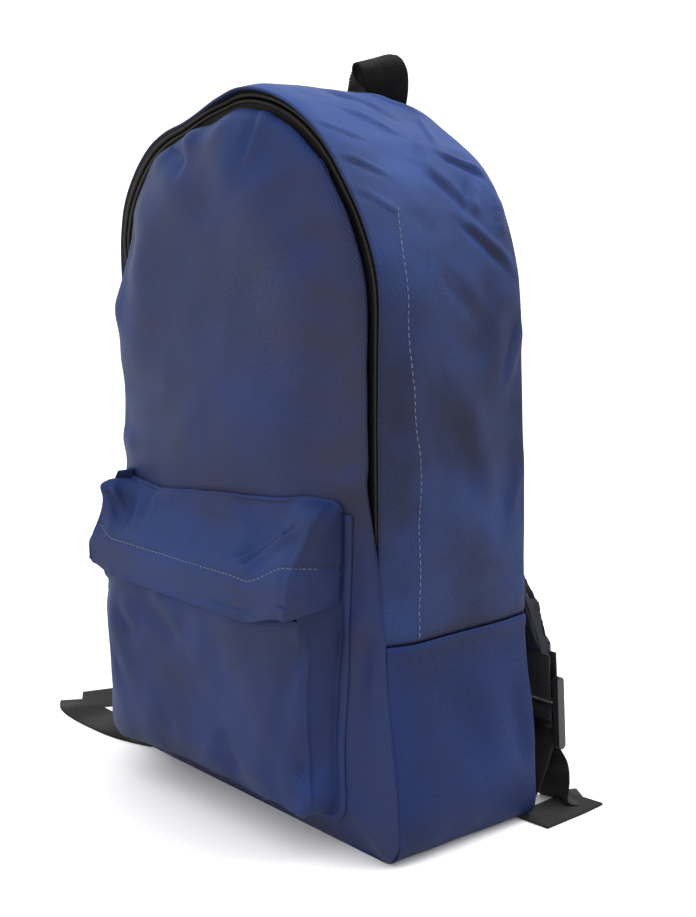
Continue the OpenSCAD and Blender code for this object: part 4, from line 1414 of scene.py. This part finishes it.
def make_pocket_zip():
    """The pocket's straight zip, hidden under the flap."""
    lo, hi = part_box("pocket_tape_lower")
    low_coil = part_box("pocket_coil_lower")
    xs = np.arange(lo.x, hi.x, 3 * MM)
    high = (2 * POCKET_ZIP_Z - hi.z, 2 * POCKET_ZIP_Z - lo.z - 4 * MM)
    tapes = (("pocket_tape_low", "pocket_tape_lower", lo.z, hi.z),
             ("pocket_tape_high", "pocket_tape_upper") + high)
    for name, node, z0, z1 in tapes:
        zs = np.linspace(z0, z1, 6)
        grid = np.stack(np.meshgrid(xs, zs, indexing="ij"), -1)
        grid = np.stack([grid[..., 0], np.full(grid.shape[:2], (lo.y + hi.y) / 2), grid[..., 1]], -1)
        piece = sheet(name + "_cloth", grid, tape_cloth, "bag", thickness=0.5, offset=0)
        stand_for(piece, "zip_tape", node)
    x = np.arange(low_coil[0].x, low_coil[1].x, 0.4 * MM)
    tooth = 0.5 + 0.5 * np.cos(x * 2 * math.pi / COIL_PITCH)
    coils = (("pocket_teeth_low", "pocket_coil_lower", -1), ("pocket_teeth_high", "pocket_coil_upper", 1))
    for name, node, sign in coils:
        place = (low_coil[0].y + 0.8 * MM, POCKET_ZIP_Z + sign * COIL_GAP / 2 * MM)
        path = np.stack([x, np.full(len(x), place[0]), np.full(len(x), place[1])], 1)
        coil = join_meshes(name, [tube_parts(path, (0.65 + 0.3 * tooth) * MM, sides=8)], coil_plastic, "bag")
        stand_for(coil, "zip_coil", node)


make_pocket_zip()

# ---------- webbing ----------


WEBBING_T = 1.4
WEBBING_W = 28.0


def ribbon(name, path, across, material, body=None, wavy=0.25):
    """Webbing with cross ribs and a serrated selvedge along a path. Across is the direction of its width."""
    path = np.asarray(path, float)
    across = np.asarray(across, float)
    both, at = resample(np.concatenate([path, across], 1), 0.8 * MM)
    path = both[:, :3]
    across = both[:, 3:]
    ahead = np.gradient(path, axis=0)
    ahead /= np.maximum(np.linalg.norm(ahead, axis=1, keepdims=True), 1e-12)
    across = across - ahead * np.sum(across * ahead, 1, keepdims=True)
    across /= np.maximum(np.linalg.norm(across, axis=1, keepdims=True), 1e-12)
    over = np.cross(ahead, across)
    beat = np.cos(at * 2 * math.pi / (1.6 * MM))[:, None]
    half = WEBBING_W / 2 * MM + wavy * MM * beat
    t = WEBBING_T / 2 * MM + 0.10 * MM * beat
    shares = np.array([-1, -0.985, -0.9, -0.6, -0.3, 0, 0.3, 0.6, 0.9, 0.985, 1])
    heights = np.array([0.0, 0.75, 1.0, 0.92, 1.0, 0.92, 1.0, 0.92, 1.0, 0.75, 0.0])
    shares = np.concatenate([shares, shares[-2:0:-1]])
    heights = np.concatenate([heights, -heights[-2:0:-1]])
    points = path[:, None] + across[:, None] * (half * shares[None])[..., None]
    points = points + over[:, None] * (t * heights[None])[..., None]
    rows, cols = points.shape[:2]
    faces, corners = grid_faces(rows, cols, closed_cols=True)
    places = np.concatenate([shares, shares[:1]]) * WEBBING_W / 2 * MM
    uv = np.stack([arc_lengths(path)[corners[:, 0]], places[corners[:, 1]]], 1)
    uv = np.concatenate([uv, np.zeros((2 * cols, 2))])
    piece = add_mesh(name, points, faces + end_caps(rows, cols), uv, material, body)
    return piece


def make_haul_loop():
    """A short loop of webbing: its legs lie flat in the rear seam and twist a quarter turn to the top."""
    knots = [
        # middle of the webbing, then the direction from its rear edge to its front edge
        (-17, 53, 420, 1.0, 0.0, 0.0), (-17.5, 54, 434, 1.0, 0.0, 0.0), (-17.5, 54, 441, 0.97, -0.2, 0.0),
        (-12.5, 53, 447.5, 0.6, -0.75, -0.1), (-6, 52, 451.5, 0.15, -1.0, -0.22),
        (0, 51.5, 451.5, -0.1, -1.0, -0.22), (4.5, 52, 448, -0.4, -0.9, -0.1),
        (7.5, 52.5, 441, -0.7, -0.7, 0), (10.5, 53, 431, -0.95, -0.3, 0),
        (12.5, 52, 418, -1.0, 0, 0),
    ]
    curve = curve_through(knots, 10)
    ribbon_piece = ribbon("haul_loop_webbing", curve[:, :3] * MM, curve[:, 3:], black_web, wavy=0.3)
    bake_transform(ribbon_piece)
    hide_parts("haul_loop")


make_haul_loop()

# ---------- shoulder straps ----------

STRAP_LEAN = math.radians(3.0)
STRAP_L = 285 * MM
STRAP_STRAIGHT = 0.4                      # share of the strap that hangs straight before it turns outwards
STRAP_T = 9 * MM
STRAP_HALF = 26 * MM
STRAP_TOP_X = 42 * MM
STRAP_END_X = (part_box("right_ladder_lock")[0].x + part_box("right_ladder_lock")[1].x) / 2
STRAP_Y = Y_BACK + 1.5 * MM
LOCK_TOP_BAR = STRAP_L + 11 * MM
LOCK_MID_BAR = LOCK_TOP_BAR + 15 * MM
LOCK_LOW_BAR = LOCK_MID_BAR + 16 * MM
WRAP_R = 2.9 * MM
CENTRE_OUT = STRAP_T / 2


def on_strap(x, out, down):
    """A point across, out from the strap's inner face and down from its top end."""
    c, s = math.cos(STRAP_LEAN), math.sin(STRAP_LEAN)
    y = STRAP_Y + out * c + down * s
    z = STRAP_TOP_Z + out * s - down * c
    return np.stack(np.broadcast_arrays(x, y, z), -1)


def strap_middle(down):
    """The strap's middle line: it curves outwards on its way down."""
    t = np.maximum(down / STRAP_L - STRAP_STRAIGHT, 0) / (1 - STRAP_STRAIGHT)
    return STRAP_TOP_X + (STRAP_END_X - STRAP_TOP_X) * smooth(t)


def strap_half(down):
    """Half the strap's width: it narrows to the webbing at its lower end."""
    t = (down - STRAP_L + 30 * MM) / (30 * MM)
    return STRAP_HALF + (WEBBING_W / 2 * MM + 2 * MM - STRAP_HALF) * smooth(t)


def shape_strap():
    """Front and back of a padded strap as two grids that share their edges, filled by a cloth simulation."""
    down = np.linspace(0.5 * MM, STRAP_L, 66)
    v = np.linspace(-1, 1, 14)
    edge = 1 - np.abs(v) ** 5
    ends = smooth(down / (16 * MM)) * smooth((STRAP_L + 2 * MM - down) / (14 * MM))
    sides = []
    for sign in (1, -1):
        plump = edge[None] ** 0.5 * (0.25 + 0.75 * ends[:, None])
        out = CENTRE_OUT - 1.2 * MM * (1 - ends[:, None])
        out = out + sign * (0.6 * MM + (STRAP_T / 2 - 1.6 * MM) * plump)
        x = strap_middle(down)[:, None] + v[None] * strap_half(down)[:, None]
        sides.append(on_strap(x, out, down[:, None] + 0 * x))
    rows, cols = sides[0].shape[:2]
    middle = (sides[0] + sides[1]) / 2
    ring = border(rows, cols)
    for grid in sides:
        grid[ring[:, 0], ring[:, 1]] = middle[ring[:, 0], ring[:, 1]]
    quads, _ = grid_faces(rows, cols)
    offset = rows * cols
    back_index = np.arange(offset).reshape(rows, cols) + offset
    back_index[ring[:, 0], ring[:, 1]] = ring[:, 0] * cols + ring[:, 1]
    flat = back_index.ravel()
    faces = [f[::-1] for f in quads] + [[int(flat[i]) for i in f] for f in quads]
    pins = np.zeros((2, rows, cols), bool)
    pins[:, ring[:, 0], ring[:, 1]] = True
    points = np.concatenate([g.reshape(-1, 3) for g in sides])
    done = settle(points, faces, pins, frames=16, pressure=3.0, cap=1.6, growth=0.03)
    done = curl_in(done)
    front = done[:offset].reshape(rows, cols, 3)
    back = done[offset:].reshape(rows, cols, 3)
    back[ring[:, 0], ring[:, 1]] = front[ring[:, 0], ring[:, 1]]
    return front, back


def curl_in(points):
    """Gathers the strap's outer edge above its lower end, where the webbing pulls it inwards."""
    limit = np.interp(points[..., 2], np.array((78, 90, 100, 125, 147, 172, 230)) * MM,
                      np.array((133, 129, 123.5, 112, 97, 92, 96)) * MM)
    beyond = np.maximum(points[..., 0] - limit, 0)
    out = points.copy()
    out[..., 0] -= beyond * 0.92
    out[..., 1] += 0.1 * beyond
    return out


STRAP_FOLDS = [
    ((92, 74, 160), (134, 74, 148), 3.5, 1.8, 0.7),
    ((100, 78, 132), (140, 77, 122), 3.0, 2.2, 0.8),
    ((96, 80, 112), (136, 80, 104), 3.0, 1.8, 0.7),
    ((66, 66, 260), (96, 68, 244), 6.0, 1.2, 0.5),
]
strap_front, strap_back = shape_strap()


def make_strap(label, side):
    """One padded strap with its stitching, tab, ladder lock and webbing. side is 1 for right, -1 for left."""
    body = label + "_strap"
    mirror = np.array([side, 1, 1])
    front = refine(strap_front, 2, 3)
    back = refine(strap_back, 2, 3)
    ring = border(*front.shape[:2])
    n = grid_normals(front)
    n *= np.sign(n[..., 1:2])
    inside = (np.abs(np.linspace(-1, 1, front.shape[1])) < 0.9)[None, :, None] * 1.0
    soft = noise_field(front * mirror, 0.02, 81) * 0.5 + noise_field(front * mirror, 0.045, 83) * 0.6
    front = front + n * soft[..., None] * MM * inside
    front = press_folds(front, n, STRAP_FOLDS)
    back[ring[:, 0], ring[:, 1]] = front[ring[:, 0], ring[:, 1]]
    front = front * mirror
    back = back * mirror
    f_faces, corners = grid_faces(*front.shape[:2], flip=side > 0)
    b_faces, b_corners = grid_faces(*front.shape[:2], flip=side < 0)
    uv = grid_uvs(front, corners)
    b_uv = grid_uvs(back, b_corners)
    piece = join_meshes(label + "_strap_pad", [(front, f_faces, uv), (back, b_faces, b_uv)], strap_twill)
    weld(piece)
    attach(piece, body)
    stand_for(piece, "black_fabric", label + "_strap_cover")
    surface = surface_of(front, flip=side > 0)
    count = front.shape[1]
    for name, column in (("a", 3), ("b", count - 4)):
        line = front[4:-4, column]
        stitch_line(label + "_strap_stitches_" + name, line, surface, black_thread, body, side=(0, 1, 0))
    core = []
    v = np.linspace(-1, 1, 9)
    for sign in (1, -1):
        down = np.linspace(12 * MM, STRAP_L - 14 * MM, 50)
        x = strap_middle(down)[:, None] + v[None] * (strap_half(down)[:, None] - 9 * MM)
        out = CENTRE_OUT + sign * 1.6 * MM * (1 - np.abs(v[None]) ** 4) ** 0.5 + 0 * x
        core.append(curl_in(on_strap(x, out, down[:, None] + 0 * x)) * mirror)
    quads, corners = grid_faces(50, 9, flip=side > 0)
    turned, t_corners = grid_faces(50, 9, flip=side < 0)
    parts = [(core[0], quads, grid_uvs(core[0], corners)), (core[1], turned, grid_uvs(core[1], t_corners))]
    foam = join_meshes(label + "_strap_core", parts, pad_foam)
    weld(foam)
    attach(foam, body)
    stand_for(foam, "foam", label + "_strap_foam")
    make_lock(label, side)


def side_path(points):
    """A path at the webbing's line from (out, down) pairs on the strap."""
    return np.array([on_strap(STRAP_END_X, out, down) for out, down in points])


def make_lock(label, side):
    """The tab, the ladder lock's finish, and the webbing from the bag's base to the back of the lock."""
    mirror = np.array([side, 1, 1])
    flat = np.array([[1.0, 0, 0]])
    turn = np.linspace(0, math.pi, 12)
    tab = [(CENTRE_OUT + 2.9 * MM, STRAP_L - 9 * MM), (CENTRE_OUT + 3.0 * MM, STRAP_L + 2 * MM)]
    for t in turn:
        tab.append((CENTRE_OUT + 2.85 * MM * math.cos(t), LOCK_TOP_BAR + (7.0 + 2.85 * math.sin(t)) * MM))
    tab += [(CENTRE_OUT - 3.0 * MM, STRAP_L + 2 * MM), (CENTRE_OUT - 2.9 * MM, STRAP_L - 9 * MM)]
    path = side_path(tab) * mirror
    flat_path = np.repeat(flat, len(path), 0)
    piece = ribbon(label + "_strap_tab_webbing", path, flat_path, black_web, label + "_strap")
    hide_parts(label + "_strap_tab")
    finish_node(label + "_ladder_lock", lock_plastic, 0.8, segments=3, angle=50)
    # up from the seam at the base to the back of the lock
    foot = [(STRAP_END_X, Y_BACK + 1.6 * MM, 8 * MM), (STRAP_END_X, Y_BACK + 6 * MM, 12 * MM)]
    behind = CENTRE_OUT - WRAP_R
    upper = side_path([(behind - 2.2 * MM, LOCK_LOW_BAR + 8 * MM), (behind - 0.8 * MM, LOCK_LOW_BAR - 2 * MM),
                       (behind - 0.4 * MM, LOCK_LOW_BAR - 9 * MM)])
    knots = np.concatenate([foot, upper])
    path = curve_through(knots, 8) * mirror
    sway = np.sin(np.linspace(0, math.pi, len(path)))[:, None] * np.array([[0.0, 0.25, 0]])
    piece = ribbon(label + "_webbing_up", path, np.repeat(flat, len(path), 0) + sway, black_web)
    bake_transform(piece)
    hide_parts(label + "_webbing_lower")
    make_tail(label, side)


def tail_start():
    """Round the lock's middle bar and down over its lower bar."""
    points = [(CENTRE_OUT - WRAP_R + 0.3 * MM, LOCK_LOW_BAR - 5 * MM)]
    for t in np.linspace(0, math.pi, 10):
        points.append((CENTRE_OUT - WRAP_R * math.cos(t), LOCK_MID_BAR - WRAP_R * math.sin(t)))
    points.append((CENTRE_OUT + WRAP_R + 0.5 * MM, LOCK_LOW_BAR + 2 * MM))
    points.append((CENTRE_OUT + WRAP_R + 1.2 * MM, LOCK_LOW_BAR + 12 * MM))
    return [tuple(p) for p in side_path(points)]


def make_tail(label, side):
    """The free end, through the lock and out over the floor. Knots are (middle, direction of the width)."""
    start = tail_start()
    low = 1.0                             # middle of webbing that lies on the floor
    if side > 0:
        rest = [(121, 84, 22, 1, 0.15, 0), (124, 83, 9, 1, 0.1, 0), (127, 86, 2.6, 1, 0.05, 0),
                (131, 92, low, 1, -0.05, 0), (135, 99, low, 1, -0.12, 0)]
        material = black_web
    else:
        rest = [(-120, 83, 22, 1, 0, 0), (-123, 82, 9, 1, 0.1, 0), (-128, 86, 3.0, 0.8, 0.5, 0.1),
                (-138, 90, low + 1.5, 0.5, 0.85, 0), (-152, 84, low + 0.4, -0.1, 1.0, 0),
                (-172, 58, low + 0.4, -0.8, 0.55, 0.1), (-196, 22, low + 1.2, -0.85, 0.5, 0.25),
                (-218, -14, low + 1.6, -0.86, 0.5, 0.25), (-236, -44, low + 1.2, -0.85, 0.52, 0.1)]
        material = grey_web
    path = [tuple(np.array(p) * [side, 1, 1] / MM) + (1.0, 0, 0) for p in start] + rest
    curve = curve_through(path, 8)
    name = label + "_webbing_end"
    piece = ribbon(name, curve[:, :3] * MM, curve[:, 3:], material, label + "_lock")
    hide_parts(label + "_webbing_tail")
    if side > 0:
        # the end doubles back under the webbing that comes down from the lock
        knots = [(140, 48, low, 1, 0.02, 0), (139, 62, low - 0.2, 1, 0, 0), (138, 80, low - 0.2, 1, -0.03, 0),
                 (136, 99, low, 1, -0.1, 0)]
    else:
        # folded at the tip, the end comes back to the bag's front corner
        knots = [(-240, -44, low, 0.1, 1.0, 0), (-226, -51, low - 0.2, 0.1, 1.0, 0),
                 (-200, -54, low - 0.2, 0, 1.0, 0.05), (-165, -53, low, -0.05, 1, 0.03),
                 (-142, -49, low, -0.2, 1, 0), (-124, -43, low, -0.25, 1, 0)]
    curve = curve_through(knots, 8)
    ribbon(name + "_fold", curve[:, :3] * MM, curve[:, 3:], grey_web, label + "_lock")


for label, side in (("right", 1), ("left", -1)):
    make_strap(label, side)

# ---------- finish of the CAD nodes that stay ----------


for name in ("main_slider", "main_puller", "pocket_slider", "pocket_puller"):
    finish_node(name, slider_paint, 0.25)
for name in ("main_zip_stops", "pocket_zip_stops"):
    finish_node(name, stop_steel, 0.3)

# ---------- camera, floor and light ----------


def make_stage():
    """A seamless pale floor, a white surround and soft light from above and from the front."""
    s = Shader("floor_paper")
    place = s.add("ShaderNodeTexCoord").outputs["Object"]
    tone = s.mix(s.noise(place, 3.0, 2.0), (0.92, 0.92, 0.93, 1), (0.95, 0.95, 0.95, 1))
    s.set(Base_Color=tone, Roughness=0.8)
    reach = 6.0
    corners = [(-reach, -reach, 0), (reach, -reach, 0), (reach, reach, 0), (-reach, reach, 0)]
    floor = add_mesh("floor", corners, [[0, 1, 2, 3]], [(0, 0), (1, 0), (1, 1), (0, 1)], s.material)
    world = bpy.data.worlds.new("surround")
    bpy.context.scene.world = world
    world.use_nodes = True
    background = world.node_tree.nodes["Background"]
    background.inputs["Color"].default_value = (1.0, 1.0, 1.0, 1)
    background.inputs["Strength"].default_value = SURROUND
    for name, place, aim, size, power in LIGHTS:
        lamp = bpy.data.lights.new(name, "AREA")
        lamp.size = size
        lamp.energy = power
        lamp_object = bpy.data.objects.new(name, lamp)
        lamp_object.location = place
        lamp_object.rotation_euler = (Vector(aim) - Vector(place)).to_track_quat("-Z", "Y").to_euler()
        bpy.context.scene.collection.objects.link(lamp_object)


SURROUND = 1.5                            # brightness of the white surround
# name, place, aim, size in metres and power in watts
LIGHTS = [
    ("overhead", (0.35, 0.55, 1.5), (0, 0, 0.2), 0.9, 16.0),
    ("front_fill", (0.3, -1.6, 0.9), (0, 0, 0.2), 1.2, 5.0),
]


# fitted to the bag's corners in the photograph
CAMERA_PLACE = (0.75016, -0.56980, 0.36166)
CAMERA_TURN = (-51.582, -9.300, -0.823)   # yaw, pitch and roll in degrees
CAMERA_LENS = 60.15                       # focal length for a frame 36 mm on its long side


def make_camera():
    """The photograph's viewpoint: a short telephoto a little above the bag's right front corner."""
    yaw, pitch, roll = (math.radians(angle) for angle in CAMERA_TURN)
    ahead = Vector((math.sin(yaw) * math.cos(pitch), math.cos(yaw) * math.cos(pitch), math.sin(pitch)))
    level = Vector((math.cos(yaw), -math.sin(yaw), 0))
    above = level.cross(ahead)
    right = level * math.cos(roll) + above * math.sin(roll)
    up = above * math.cos(roll) - level * math.sin(roll)
    lens = bpy.data.cameras.new("camera")
    lens.sensor_width = 36
    lens.lens = CAMERA_LENS
    camera = bpy.data.objects.new("camera", lens)
    turn = Matrix((right, up, -ahead)).transposed()
    camera.matrix_world = Matrix.Translation(CAMERA_PLACE) @ turn.to_4x4()
    bpy.context.scene.collection.objects.link(camera)
    bpy.context.scene.camera = camera


make_stage()
make_camera()
bpy.context.scene.view_settings.view_transform = "Standard"
